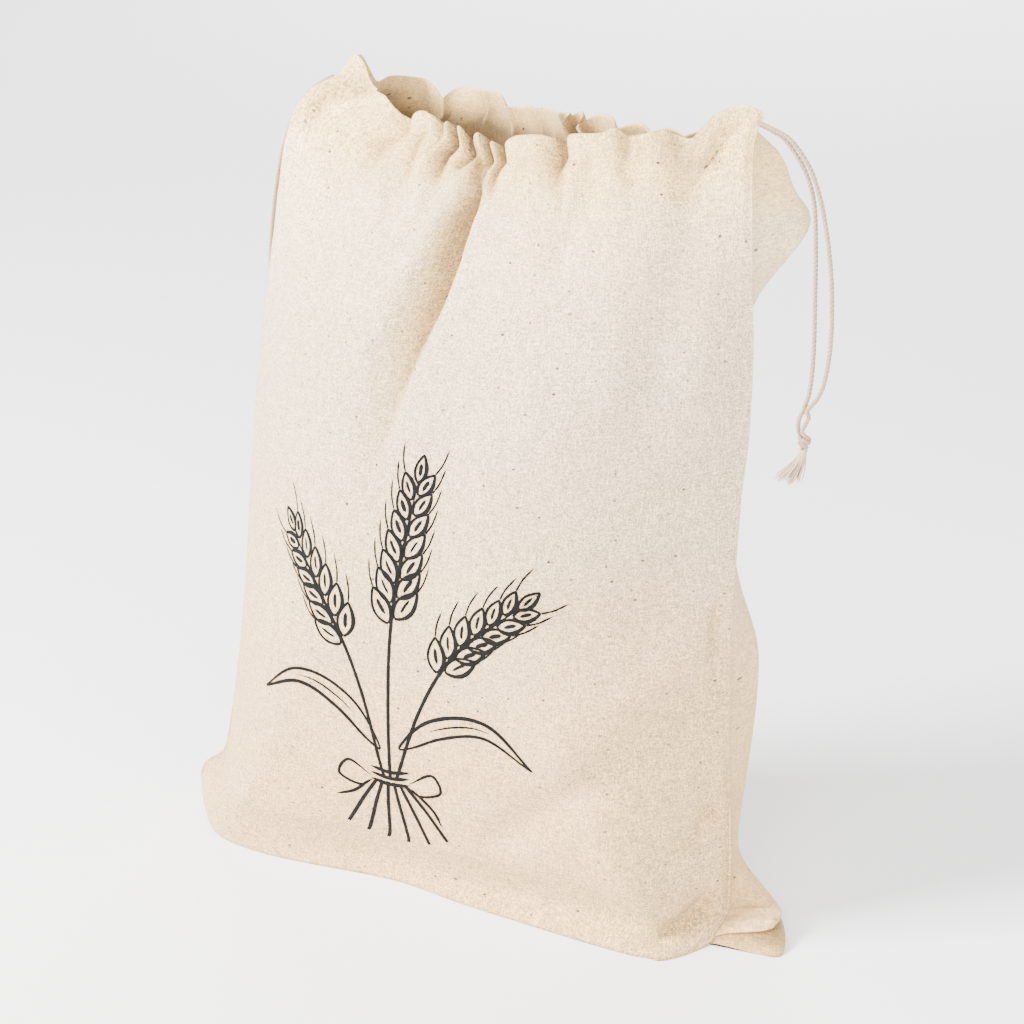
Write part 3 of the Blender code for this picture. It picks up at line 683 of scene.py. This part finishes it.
# Creases and soft ridges: each has a width on its left and on its right and a power, low for a
# sharp one, and follows its points: millimetres along the cloth, height, depth (a ridge's is negative)
FRONT_FOLDS = (
    # the fullness across the front's right half
    ((48, 58, 2), (150, 236, 0), (185, 238, -3.0), (222, 242, -5.0), (258, 246, -3.5),
     (278, 248, 0)),
    # the deep fold that the drawn hem sends down the front, and the round ridge beside it
    ((16, 2.2, 1.2), (126, 324, 2.0), (129, 315, 8.0), (132, 306, 12.5), (133, 297, 13.5),
     (133, 286, 13.5), (131, 270, 11.5), (127, 250, 8.6), (123, 232, 5.6), (117, 208, 2.4),
     (112, 186, 0)),
    ((2.2, 1.0, 1.1), (131, 318, 0.5), (134, 308, 2.5), (135, 297, 3.2), (135, 286, 3.0),
     (133, 270, 2.0), (129, 250, 1.0), (125, 232, 0)),
    ((9, 9, 2), (117, 318, -1.0), (115, 305, -2.5), (110, 282, -3.0), (103, 255, -2.2),
     (97, 230, 0)),
    # the left corner of the mouth, which stands up behind the front's own edge
    ((4, 1.4, 1.1), (19, 338, 2.5), (17, 336, 3.5), (14, 334, 4.5), (11.5, 330, 5.0),
     (10, 326, 5.0), (10, 322, 4.6), (10.5, 318, 3.0), (12, 313, 0)),
    # creases between the gathers
    ((6, 2.2, 1.1), (67, 335, 2.0), (75, 326, 4.6), (78, 318, 3.6), (80, 306, 0)),
    ((4.5, 2.5, 1.1), (91, 336, 2.0), (96, 326, 3.2), (99, 316, 2.4), (102, 304, 0)),
    ((2.5, 2.0, 1.1), (112, 333, 2.0), (117, 330, 3.2), (122.5, 327, 3.2), (126, 322, 1.5)),
    ((3, 2.4, 1.1), (174, 337, 1.2), (179, 333, 2.4), (186, 331, 1.6)),
    ((3, 2.0, 1.1), (186, 330, 1.0), (189, 322, 3.0), (190, 314, 2.4), (190, 304, 0)),
    ((4, 3, 1.2), (222, 338, 1.4), (228, 333, 1.6), (226, 324, 0.8), (224, 314, 0)),
    # the flap of the right corner, bent over the hem's stitching
    ((5, 4, 1.1), (244, 336, 2.0), (248.5, 331, 3.2), (252.6, 324, 4.0), (256.5, 319.5, 4.4),
     (260, 321, 4.4), (264, 325, 3.6), (269, 328, 2.6), (276, 332, 1.0)),
    # the front's fill, a little flatter below the fullness
    ((40, 40, 2), (170, 176, 0), (205, 168, 2.5), (245, 160, 2.5), (272, 150, 0)),
    # the soft crease under the filled front, where the bottom's corner is pulled out
    ((7, 2, 1.2), (236, 1, 0.8), (246, 3.5, 3.2), (256, 6, 4.2), (265, 9, 4.6), (272, 12, 5.0),
     (279, 16, 2.0)),
    # dents and a bent wrinkle down the right side
    ((6, 4, 1.3), (252, 42, 0.4), (264, 48, 2.6), (270, 53, 4.5), (274, 56, 4.5), (277, 58, 1)),
    ((3, 2, 1.1), (277, 155, 2.0), (274, 147, 3.6), (270.5, 137, 2.8), (273, 129, 3.6),
     (277, 121, 3.0)),
    ((5, 3, 1.2), (262, 106, 0.5), (270, 110, 2.4), (276, 114, 4.0)),
    # creases from the left corner of the mouth
    ((4, 8, 1.4), (36, 330, 1.2), (58, 320, 2.4), (76, 306, 1.8), (90, 288, 0)),
    ((6, 10, 1.6), (20, 322, 0.8), (40, 300, 1.4), (62, 272, 1.0), (80, 246, 0)),
)
BACK_FOLDS = (
    # the pulled-out corner of the bottom, folded over itself
    ((6, 1.2, 1.1), (277, 1, 2.5), (274, 3, 4.0), (270, 6.5, 4.5), (265, 8, 4.0), (260, 8.5, 1.5)),
    ((2.5, 2.5, 1.1), (277, 15, 1.5), (274, 11, 2.5), (270, 9.5, 1.0)),
    ((8, 8, 1.4), (60, 330, 2.0), (66, 300, 3.0), (72, 260, 1.5), (76, 230, 0)),
    ((7, 10, 1.4), (140, 330, 2.0), (136, 300, 3.0), (128, 260, 1.5), (120, 220, 0)),
    ((9, 6, 1.4), (204, 320, 2.0), (196, 296, 2.5), (184, 262, 1.5), (176, 230, 0)),
)

# side is the way out along y, and the last three are the seed of the small wrinkles, and how dark
# and how wide the shade beside the side seams is
Panel = namedtuple(
    "Panel", "name side sections swells bunching rises valleys creases folds seed shade shade_wide"
)
PANELS = (
    Panel(
        "front_panel", -1, FRONT_SECTIONS, FRONT_SWELLS, FRONT_BUNCHING, FRONT_RISES,
        FRONT_VALLEYS, FRONT_CREASES, FRONT_FOLDS, 11, 1.5, 2.4,
    ),
    Panel(
        "back_panel", 1, BACK_SECTIONS, BACK_SWELLS, BACK_BUNCHING, BACK_RISES,
        BACK_VALLEYS, BACK_CREASES, BACK_FOLDS, 23, 1.8, 4.0,
    ),
)


def from_seam(cloth):
    """How far places on the cloth are from the nearer side seam, from shares of its width."""
    return np.minimum(cloth, 1 - cloth) * PANEL_WIDTH


def section(panel, height):
    """The panel's curve at one height: close points from the left seam to the right one."""
    left_x, left_y, right_x, right_y = (smooth(SEAMS, height, c) for c in range(1, 5))
    depth, left, right, left_power, right_power, left_tail, right_tail = (
        smooth(panel.sections, height, c) for c in range(1, len(Section._fields))
    )
    share = 0.5 - 0.5 * np.cos(np.linspace(0, math.pi, 481))
    x = left_x + share * (right_x - left_x)
    from_left = np.clip((left - x) / (left - left_x), 0, 1)
    from_right = np.clip((x - right) / (right_x - right), 0, 1)
    stand = (1 - from_left**left_power) ** left_tail * (1 - from_right**right_power) ** right_tail
    beside_seam = ease(np.minimum(x - left_x, right_x - x) / 3)
    layers = (SOLID_CLOTH + SOLID_HEM_EXTRA * ease((height - HEM_FROM + 8) / 8)) * beside_seam
    stand = SEAM_GAP / 2 + np.hypot(depth * stand, layers)
    return x, left_y + share * (right_y - left_y) + panel.side * stand


def valley_depths(panel, cloth, height):
    """How far the gathers sink a panel in at one height, and how far they pull its edge down."""
    depth, dip = np.zeros_like(cloth), np.zeros_like(cloth)
    for valley in panel.valleys:
        down = np.clip((RIM_HEIGHT - height) / valley.reach, 0, 1)
        away = (cloth - valley.cloth) * PANEL_WIDTH - valley.lean * down
        wide = np.where(away < 0, valley.left_wide, valley.right_wide) * (1 + 0.9 * down)
        shape = np.exp(-(np.abs(away / wide) ** 1.2)) * (1 - ease(down))
        depth = depth + valley.depth * shape
        dip = np.maximum(dip, valley.dip * shape)
    return depth, dip


def crease_depths(panel, cloth, height):
    """How far the long creases sink a panel in at one height."""
    depth = np.zeros_like(cloth)
    for crease in panel.creases:
        run = np.array([crease.to_along - crease.along, crease.to_height - crease.height], float)
        gap = np.stack([cloth * PANEL_WIDTH - crease.along, np.full_like(cloth, height - crease.height)])
        t = np.clip((run @ gap) / (run @ run), 0, 1)
        away = np.hypot(*(gap - run[:, None] * t))
        depth += crease.depth * np.exp(-((away / crease.wide) ** 2))
    return depth


def fold_depths(panel, along, height):
    """How far the folds sink a panel in, over a grid of places on it."""
    depth = np.zeros_like(along)
    for (left_wide, right_wide, power), *points in panel.folds:
        nearest = np.full_like(along, 1e9)
        here = np.zeros_like(along)
        for (a0, h0, d0), (a1, h1, d1) in zip(points, points[1:]):
            run_a, run_h = a1 - a0, h1 - h0
            length = math.hypot(run_a, run_h)
            t = np.clip(((along - a0) * run_a + (height - h0) * run_h) / length**2, 0, 1)
            away_a, away_h = along - a0 - t * run_a, height - h0 - t * run_h
            away = np.hypot(away_a, away_h)
            beside = np.where(away_a < 0, left_wide, right_wide)
            value = (d0 + (d1 - d0) * t) * np.exp(-((away / beside) ** power))
            here = np.where(away < nearest, value, here)
            nearest = np.minimum(nearest, away)
        depth += here
    return depth


def panel_row(panel, height, cloth):
    """The outer face of a panel at one height, at shares of the cloth from the left seam to the
    right one, and the way out of it at each point."""
    bunched = ease((height - BUNCHED_FROM) / (RIM_HEIGHT - BUNCHED_FROM))
    across = cloth + bunched * (smooth(panel.bunching, cloth) - cloth)
    across += 4 * across * (1 - across) * float(smooth(LEANS, height))
    x, y = section(panel, height)
    walked = np.concatenate([[0], np.cumsum(np.hypot(np.diff(x), np.diff(y)))])
    walked /= walked[-1]
    ahead, behind = np.clip(across + 0.01, 0, 1), np.clip(across - 0.01, 0, 1)
    run_x = np.interp(ahead, walked, x) - np.interp(behind, walked, x)
    run_y = np.interp(ahead, walked, y) - np.interp(behind, walked, y)
    out = unit(np.stack([-panel.side * run_y, panel.side * run_x, np.zeros_like(run_x)], axis=1))
    row = np.stack([np.interp(across, walked, x), np.interp(across, walked, y)], axis=1)
    row = np.column_stack([row, np.full(len(cloth), float(height))])

    inside = ease(np.minimum(cloth, 1 - cloth) / 0.045)
    valley, dip = valley_depths(panel, cloth, height)
    row -= out * (inside * (valley + crease_depths(panel, cloth, height)))[:, None]
    lift = ease((height - RISES_FROM) / (RIM_HEIGHT - RISES_FROM))
    row[:, 2] += lift * (smooth(panel.rises, cloth) - inside * dip)
    for swell in panel.swells:
        tall = swell.up if height > swell.height else swell.down
        away = np.hypot((cloth * PANEL_WIDTH - swell.along) / swell.wide, (height - swell.height) / tall)
        push = inside * np.exp(-(away**2))
        row[:, :2] += push[:, None] * [swell.push_x, swell.push_y]
    return row, out


COLUMNS = 300
HEIGHTS = np.concatenate([
    np.linspace(0, 24, 16, endpoint=False),
    np.linspace(24, 240, 108, endpoint=False),
    np.linspace(240, 306, 60, endpoint=False),
    np.linspace(306, RIM_HEIGHT, 40),
])
FLOOR_ROWS = 4
TURNED_TO = 314.0  # height that the hem's turned-in edge reaches down to


class Cloth:
    """A panel's sheet as a grid: the outer face from the bottom seam up to the mouth's edge, then
    over it and down the inside to the edge of the turned-in hem."""

    def __init__(self, panel):
        self.panel = panel
        cloth = np.linspace(0, 1, COLUMNS + 1)
        rows = [panel_row(panel, h, cloth) for h in HEIGHTS]
        outer = np.stack([row for row, _ in rows])
        out = np.stack([o for _, o in rows])
        outer, sunk = self.wrinkled(outer, out, cloth)
        edge = outer[0]
        middle = edge[0] + cloth[:, None] * (edge[-1] - edge[0])
        floor = np.stack([middle + (edge - middle) * i / FLOOR_ROWS for i in range(FLOOR_ROWS)])
        floor[:, :, 2] = 0.0
        turned = self.turned_in(outer, out, cloth)
        self.top_height = outer[-1][:, 2]
        self.grid = np.concatenate([floor, outer, turned])
        self.creased = self.painted_shading(sunk, turned, cloth)
        steps = np.linalg.norm(np.diff(self.grid, axis=0), axis=2)
        steps = np.median(steps[:, 20:-20], axis=1)
        up = np.concatenate([[0], np.cumsum(steps)])
        self.up = up - up[FLOOR_ROWS]  # 0 where the cloth leaves the floor
        self.along = cloth * PANEL_WIDTH

    def painted_shading(self, sunk, turned, cloth):
        """The shade painted on the cloth at each point: up to 1 in the valleys of the gathers and folds,
        and up to 2 in the deepest shade, beside the side seams low down, under the corners' tucks and
        down the inside of the hem."""
        steep = np.clip(np.abs(np.gradient(sunk, axis=1)) / 1.2, 0, 1)
        # painted shade in the valleys of the gathers and folds, darker where they are deep or steep
        level = np.clip((sunk - 0.6) / 6.5 + 0.5 * steep, 0, 1.3) + np.clip((sunk - 12.5) / 6, 0, 0.6)
        beside = from_seam(cloth)
        # painted shade beside the side seams, low on the panel
        low = ease((HEIGHTS - 6) / 12) * ease((90 - HEIGHTS) / 50)
        shade = self.panel.shade * np.exp(-beside / self.panel.shade_wide)
        level = np.maximum(level, shade * low[:, None])
        if self.panel.side > 0:  # shade under the corners' tucks
            tucked = ease((14 - HEIGHTS) / 5)[:, None] * np.exp(-((beside - 12) / 9) ** 2)
            level = np.maximum(level, 1.9 * tucked * ease((HEIGHTS + 4) / 9)[:, None])
        # painted shade down the inside of the hem, darker further below the mouth's edge and under its
        # gathers
        below = np.clip((self.top_height - turned[:, :, 2]) / 15, 0, 1)
        inside = np.clip(0.05 + 1.95 * below ** 1.2 + 1.7 * steep[-1] * (1 - 0.3 * below), 0, 2)
        return np.concatenate([np.repeat(level[:1], FLOOR_ROWS, axis=0), level, inside])

    def wrinkled(self, outer, out, cloth):
        """Small soft unevenness of the cloth, none at the seams or on the floor."""
        along, height = np.meshgrid(cloth * PANEL_WIDTH, HEIGHTS)
        seed = self.panel.seed
        soft = 0.55 * noise(along / 46, height / 60, seed)
        soft = soft + 0.28 * noise(along / 21 + height / 60, height / 34, seed + 1)
        soft += 0.10 * noise(along / 9, height / 14, seed + 2)
        calm = ease(np.minimum(along, PANEL_WIDTH - along) / 14) * ease(height / 16)
        calm *= 1 - 0.6 * ease((height - 300) / 20)
        at_seam = ease(np.minimum(along, PANEL_WIDTH - along) / 10)
        sunk = fold_depths(self.panel, along, height) * at_seam
        gathered = np.stack([valley_depths(self.panel, cloth, h)[0] for h in HEIGHTS])
        return outer + out * (soft * calm - sunk)[..., None], gathered + np.maximum(sunk, 0)

    def turned_in(self, outer, out, cloth):
        """The hem's edge rolled over the top, and its cloth down the inside."""
        top, top_out = outer[-1], out[-1]
        beside = from_seam(cloth)[:, None]
        slim = 0.15 + 0.85 * ease((beside - 26) / 20)  # flatter where it meets the side seams
        # there the way out is the surface's own, elsewhere it is level
        facing = np.cross(np.gradient(outer, axis=1), np.gradient(outer, axis=0))
        facing = unit(facing) * -self.panel.side
        out = unit(facing + (out - facing) * ease((beside - 16) / 20))
        half = HEM_THICK / 2 * slim
        rows = []
        for angle in (30, 60, 90, 120, 150, 180):
            a = math.radians(angle)
            rows.append(top - top_out * half * (1 - math.cos(a)) + half * np.array([0, 0, math.sin(a)]))
        for i in range(len(HEIGHTS) - 2, -1, -2):
            height = HEIGHTS[i]
            if height < TURNED_TO:
                break
            thick = HEM_THICK + 0.9 * math.sin(math.pi * np.clip((RIM_HEIGHT - height) / 22, 0, 1)) ** 2
            rows.append(outer[i] - out[i] * thick * slim)
        rows.append(rows[-1] + out[i] * 0.3 * slim - [0, 0, 0.3])
        return np.stack(rows)

    def at(self, along, up, stand=0.0):
        """Points of the outer face at lengths along and up the cloth, standing off it a little."""
        column = np.clip(np.asarray(along, float) / PANEL_WIDTH * COLUMNS, 0, COLUMNS - 1e-6)
        last = FLOOR_ROWS + len(HEIGHTS) - 1
        row = np.interp(up, self.up[: last + 1], np.arange(last + 1))
        row = np.clip(row, 0, last - 1e-6)
        i, j = row.astype(int), column.astype(int)
        a, b = (row - i)[..., None], (column - j)[..., None]
        g = self.grid
        low = g[i, j] * (1 - b) + g[i, j + 1] * b
        high = g[i + 1, j] * (1 - b) + g[i + 1, j + 1] * b
        point = low * (1 - a) + high * a
        right = (g[i, j + 1] - g[i, j]) * (1 - a) + (g[i + 1, j + 1] - g[i + 1, j]) * a
        upward = high - low
        normal = unit(np.cross(right, upward)) * -self.panel.side
        return point + normal * stand, normal

    def height_to_up(self, height):
        return np.interp(height, HEIGHTS, self.up[FLOOR_ROWS: FLOOR_ROWS + len(HEIGHTS)])

    def piece(self, name, material, slot):
        part = as_part(self.grid, grid_map(self.along, self.up), self.panel.side > 0)
        obj = add_piece(name, *part, material, slot, self.creased.ravel())
        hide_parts(self.panel.name)
        return obj


# Along a corner's tuck, from the seam inwards: where it is along the cloth, the heights of its upper
# and lower edge, and how far it stands off the cloth
ROLL_AT, ROLL_STANDS_AT = (0, 0.1, 0.35, 0.7, 1), (0, 0.12, 0.4, 0.75, 1)
ROLL = (
    (ROLL_AT, (280, 277.5, 272.5, 267, 261)),
    (ROLL_AT, (13.0, 14.5, 16.0, 17.5, 16.5)),
    (ROLL_AT, (1.0, 1.8, 5.5, 10.5, 12.5)),
    (ROLL_STANDS_AT, (0.3, 1.8, 3.2, 2.6, 0.1)),
)
ROLL_FLAT, ROLL_BENT = 0.72, 0.28  # shares of its width that lie on the cloth and bend under


def add_corner_rolls(cloth, material):
    """The bottom's pulled-out corners, where the cloth rolls over itself in a short soft tuck."""
    parts = []
    t = np.linspace(0, 1, 70)
    along, top, low, stand = (np.interp(t, at, values)[:, None] for at, values in ROLL)
    across = np.linspace(0, 1, 34)
    turn = np.clip((across - ROLL_FLAT) / ROLL_BENT, 0, 1)
    share = np.where(turn > 0, ROLL_FLAT + ROLL_BENT * np.sin(turn * math.pi), across)[None, :]
    lift = np.where(turn > 0, 0.5 + 0.5 * np.cos(turn * math.pi), ease(across / ROLL_FLAT))
    lift = (lift * 1.06 - 0.06)[None, :]
    height = top + (low - top) * share
    for left in (True, False):
        beside = np.broadcast_to(along, height.shape)
        if left:
            beside = PANEL_WIDTH - beside
        points, normal = cloth.at(beside, height)
        points = points + normal * (stand * lift)[..., None]
        up = height[:, :1] - np.cumsum(np.full_like(height, 0.4), axis=1)
        parts.append(as_part(points, np.stack([beside, up], axis=-1), not left))
    return add_piece("corner_rolls", *joined(parts), material, "back cloth")


def add_side_seams(material):
    """The closed side seams: a narrow ridge of turned cloth from the floor to the mouth."""
    parts = []
    heights = np.linspace(0.8, RIM_HEIGHT, 220)
    lift = ease((heights - RISES_FROM) / (RIM_HEIGHT - RISES_FROM))
    for k in range(2):  # the left one, then the right one
        line = np.column_stack([
            smooth(SEAMS, heights, 1 + 2 * k),
            smooth(SEAMS, heights, 2 + 2 * k),
            heights + lift * FRONT_RISES[-k][1] - 0.6 * ease(heights / 330),
        ])
        angle = np.linspace(0, 2 * math.pi, 11)
        swell = 0.24 + 0.42 * ease((85 - heights) / 60)
        swell = swell + 0.04 * noise(heights / 3.1, 0 * heights, 60 + k)
        to_ends = (heights - 0.2, RIM_HEIGHT + 0.6 - heights)
        foot, rim = (np.clip(to_end / 2, 0, 1) ** 0.5 for to_end in to_ends)
        swell *= foot * rim
        maps = grid_map(angle * 0.5 + 40.0 * k, lengths_along(line))
        parts.append(tube(line, angle, swell[:, None], maps))
    return add_piece("side_seams", *joined(parts), material, "front cloth")


# ---- stitching

# Along the cloth, and the height of the hem's stitching there
SEWN = {
    "front_panel": ((0, 335), (29, 330), (52, 323), (76, 318), (110, 316.5), (200, 316.5),
                    (250, 319), (280, 325)),
    "back_panel": ((0, 325), (40, 319), (90, 317), (230, 317), (280, 325)),
}
STITCH_PITCH, STITCH_LENGTH, STITCH_RADIUS = 2.7, 2.2, 0.12


def add_stitches(cloth, name, material, slot):
    """The hem's stitching: short threads that lie on the cloth and dip into it at their ends."""
    parts = []
    t = np.linspace(0, 1, 6)
    for k in range(int(PANEL_WIDTH / STITCH_PITCH)):
        along = 1.5 + STITCH_PITCH * k + STITCH_LENGTH * t
        height = smooth(SEWN[cloth.panel.name], along)
        points, normal = cloth.at(along, cloth.height_to_up(height))
        line = points + normal * (0.17 * np.sin(math.pi * t) ** 0.5 - 0.06)[:, None]
        maps = grid_map(np.arange(6) * 0.25 + 2.0 * k, t * STITCH_LENGTH)[..., ::-1]
        angles = np.linspace(0, 2 * math.pi, 6)
        parts.append(tube(line, angles, np.full((6, 1), STITCH_RADIUS), maps))
    return add_piece(name, *joined(parts), material, slot)


# ---- print

STROKE_ACROSS = 3  # points across a stroke
INK_STAND = 0.10  # how far the ink stands off the cloth


def turned_left(way):
    """Flat directions turned a quarter to the left."""
    return np.stack([-way[..., 1], way[..., 0]], axis=-1)


def left_of(line):
    """The way to the left of a flat line at each of its points."""
    return turned_left(unit(np.gradient(line, axis=0)))


def stroke_part(cloth, points, half):
    """A flat stroke on the cloth, from points along and up it and half widths."""
    share = np.linspace(-1, 1, STROKE_ACROSS)
    grid = points[:, None] + left_of(points)[:, None] * (half[:, None] * share)[..., None]
    on_cloth, _ = cloth.at(grid[..., 0], grid[..., 1], INK_STAND)
    return as_part(on_cloth, grid)


def ragged(count, seed):
    """The slight unevenness of an inked edge."""
    return 0.07 * noise(np.arange(count) / 2.2, np.zeros(count), seed)


def line_stroke(points, half, seed, pointed=(True, True), step=0.8):
    """A curved stroke, with points at its start and end or without."""
    line = curve_through(points, step)
    t = np.linspace(0, 1, len(line))
    taper = np.ones(len(line))
    for to_end, is_pointed in zip((t, 1 - t), pointed):
        if is_pointed:
            taper *= np.clip(to_end / 0.22, 0, 1) ** 0.7
    return line, np.maximum(half * taper + ragged(len(line), seed), 0.05)


def grain_strokes(foot, heading, length, wide, seed):
    """The outline of a plump grain, heavier on its lower side, with a pointed stroke inside."""
    heading = np.asarray(heading) / np.hypot(*heading)
    beside = turned_left(heading)
    t = np.linspace(0, 1, 26)
    bulge = np.sin(math.pi * t**0.85) ** 0.85 * wide / 2
    middle = foot + heading * (t * length)[:, None]
    right, left = middle - beside * bulge[:, None], middle + beside * bulge[:, None]
    outline = np.vstack([left, right[::-1][1:]])
    turn = np.linspace(0, 1, len(outline))
    half = 0.62 + 0.42 * np.sin(math.pi * np.clip((turn - 0.5) * 2, 0, 1)) + ragged(len(outline), seed)
    inner = [foot + heading * length * a + beside * wide * b
             for a, b in ((0.24, -0.06), (0.45, 0.02), (0.7, 0.05))]
    inner_half = 0.55 + 0.5 * hashed(seed, 1.0, 9)
    return [(outline, half), line_stroke(inner, inner_half, seed + 0.5, step=0.6)]


def ear_strokes(stem, grains, length, wide, seed):
    """A stalk with a pair of grains at each step of its upper part, a top one, and their awns."""
    line = curve_through(stem, 0.8)
    strokes = [line_stroke(stem, 0.85, seed, pointed=(False, True))]
    last = len(line) - 1
    for k in range(grains):
        at = int(last * (0.52 + 0.46 * k / grains))
        heading = line[min(at + 3, last)] - line[at - 3]
        heading /= np.hypot(*heading)
        beside = turned_left(heading)
        size = 1 - 0.34 * k / grains
        for side in (-1, 1):
            out = heading * 0.86 + beside * side * (0.56 - 0.12 * k / grains)
            foot = line[at] + beside * side * 1.4 + heading * (1.5 if side > 0 else 4.5)
            strokes += grain_strokes(foot, out, length * size, wide * size, seed + 3 * k + side)
            tip = foot + out / np.hypot(*out) * (length * size + 0.6)
            strokes.append(line_stroke(
                [tip, tip + heading * 5 + beside * side * 2.2, tip + heading * 12 + beside * side * 3.6],
                0.42, seed + k + 0.3, pointed=(False, True)))
    top = line[last] - (line[last] - line[last - 4])
    strokes += grain_strokes(top, line[last] - line[last - 4], length * 0.72, wide * 0.66, seed + 50)
    return strokes


def leaf_strokes(points, wide, seed):
    """A long bent blade: both edges and a broken line along its middle."""
    line = curve_through(points, 0.9)
    beside = left_of(line)
    t = np.linspace(0, 1, len(line))
    bulge = (np.sin(math.pi * t**0.7) * wide / 2)[:, None]
    thin = 0.6 + 0.35 * np.sin(math.pi * t) + ragged(len(line), seed)
    n = len(line)
    middle = line[int(0.25 * n): int(0.7 * n)]
    taper = 0.5 * np.sin(math.pi * np.linspace(0.02, 0.98, len(middle)))
    return [(line + beside * bulge, thin), (line - beside * bulge, thin * 0.8), (middle, taper)]


EARS = (  # the stalk's points, pairs of grains, a grain's length and width, seed
    (((126, 62), (127, 120), (131, 160), (138, 204)), 7, 17, 8.2, 10),
    (((123, 62), (113, 104), (96, 140), (70, 170)), 6, 16, 7.8, 100),
    (((129, 62), (142, 100), (160, 130), (190, 156)), 6, 16, 7.8, 200),
)
LEAVES = (  # points, width, seed
    (((122, 76), (104, 96), (82, 104), (60, 92)), 9, 300),
    (((131, 78), (150, 92), (172, 96), (194, 82)), 9, 310),
)
STALK_FEET = ((104, 33), (113, 29), (123, 27), (133, 27), (143, 30), (152, 35))
BOW = (  # points, half width, seed
    (((135, 61), (146, 68), (150, 60), (140, 56), (134, 60)), 0.7, 430),
    (((117, 61), (106, 67), (101, 59), (111, 55), (118, 60)), 0.7, 431),
    (((136, 59), (146, 50), (150, 42)), 0.8, 432),
    (((116, 59), (108, 51), (99, 47)), 0.8, 433),
)


def add_print(cloth, material):
    """A tied bunch of wheat ears in black line."""
    strokes = []
    for ear in EARS:
        strokes += ear_strokes(*ear)
    for leaf in LEAVES:
        strokes += leaf_strokes(*leaf)
    for k, (x, y) in enumerate(STALK_FEET):
        start = 119.5 + 2.7 * k
        stalk = [(start, 60), ((start + x) / 2, (60 + y) / 2 + 1), (x, y)]
        strokes.append(line_stroke(stalk, 0.9, 400 + k, pointed=(False, False)))
    for k in range(3):
        turn = [(116.5, 60 + 3.2 * k), (126, 58.6 + 3.2 * k), (135.5, 60.4 + 3.2 * k)]
        strokes.append(line_stroke(turn, 1.0, 420 + k))
    strokes += [line_stroke(*loop) for loop in BOW]
    parts = [stroke_part(cloth, points, half) for points, half in strokes]
    return add_piece("printed_wheat", *joined(parts), material, "front cloth")


# ---- floor, light

FLOOR_HALF = 6.0  # metres


def add_floor():
    mesh = bpy.data.meshes.new("floor")
    corners = [(x * FLOOR_HALF, y * FLOOR_HALF, 0) for x, y in ((-1, -1), (1, -1), (1, 1), (-1, 1))]
    mesh.from_pydata(corners, [], [(0, 1, 2, 3)])
    mesh.materials.append(Nodes("pale floor").finish((0.87, 0.905, 0.965), rough=0.9))
    floor = linked("floor", mesh)
    floor.location.z = -0.0002


LAMPS = (  # name, where it is and where it points in metres, size, watts, colour
    ("key", (-1.3, -1.2, 1.3), (0.0, 0.0, 0.2), 0.7, 235.0, (1.0, 0.955, 0.895)),
    ("front", (0.5, -1.5, 1.2), (0.0, 0.0, 0.17), 1.2, 60.0, (1.0, 0.955, 0.895)),
    ("fill", (1.9, -0.8, 0.8), (0.0, 0.0, 0.18), 1.2, 54.0, (1.0, 0.96, 0.90)),
    ("backdrop", (-1.2, 3.5, 2.2), (-0.8, 2.8, 0.0), 3.0, 300.0, (1.0, 0.97, 0.93)),
)


def add_light():
    world = bpy.data.worlds.new("studio")
    bpy.context.scene.world = world
    world.use_nodes = True
    background = world.node_tree.nodes["Background"]
    background.inputs[0].default_value = (1.0, 0.96, 0.90, 1)
    background.inputs[1].default_value = 0.72
    for name, spot, towards, size, power, colour in LAMPS:
        lamp = bpy.data.lights.new(name, "AREA")
        lamp.shape, lamp.size, lamp.energy, lamp.color = "SQUARE", size, power, colour
        obj = linked(name, lamp)
        obj.location = spot
        obj.rotation_euler = looking(Vector(spot) - Vector(towards))


def main():
    add_camera()
    add_drawstrings()
    front_cloth = woven("front linen", (0.72, 0.585, 0.405))
    back_cloth = woven("back linen", (0.73, 0.575, 0.385), contrast=0.6)
    thread = yarn("sewing thread", (0.74, 0.60, 0.41), 0.4)
    for panel, material in zip(PANELS, (front_cloth, back_cloth)):
        cloth = Cloth(panel)
        side = panel.name.split("_")[0]
        slot = f"{side} cloth"
        sewn = add_stitches(cloth, f"{side}_hem_stitches", thread, slot)
        piece = cloth.piece(f"{side}_cloth", material, slot)
        if side == "front":
            add_print(cloth, inked("black ink"))
            add_side_seams(material)
        else:
            add_corner_rolls(cloth, material)
    add_floor()
    add_light()


main()
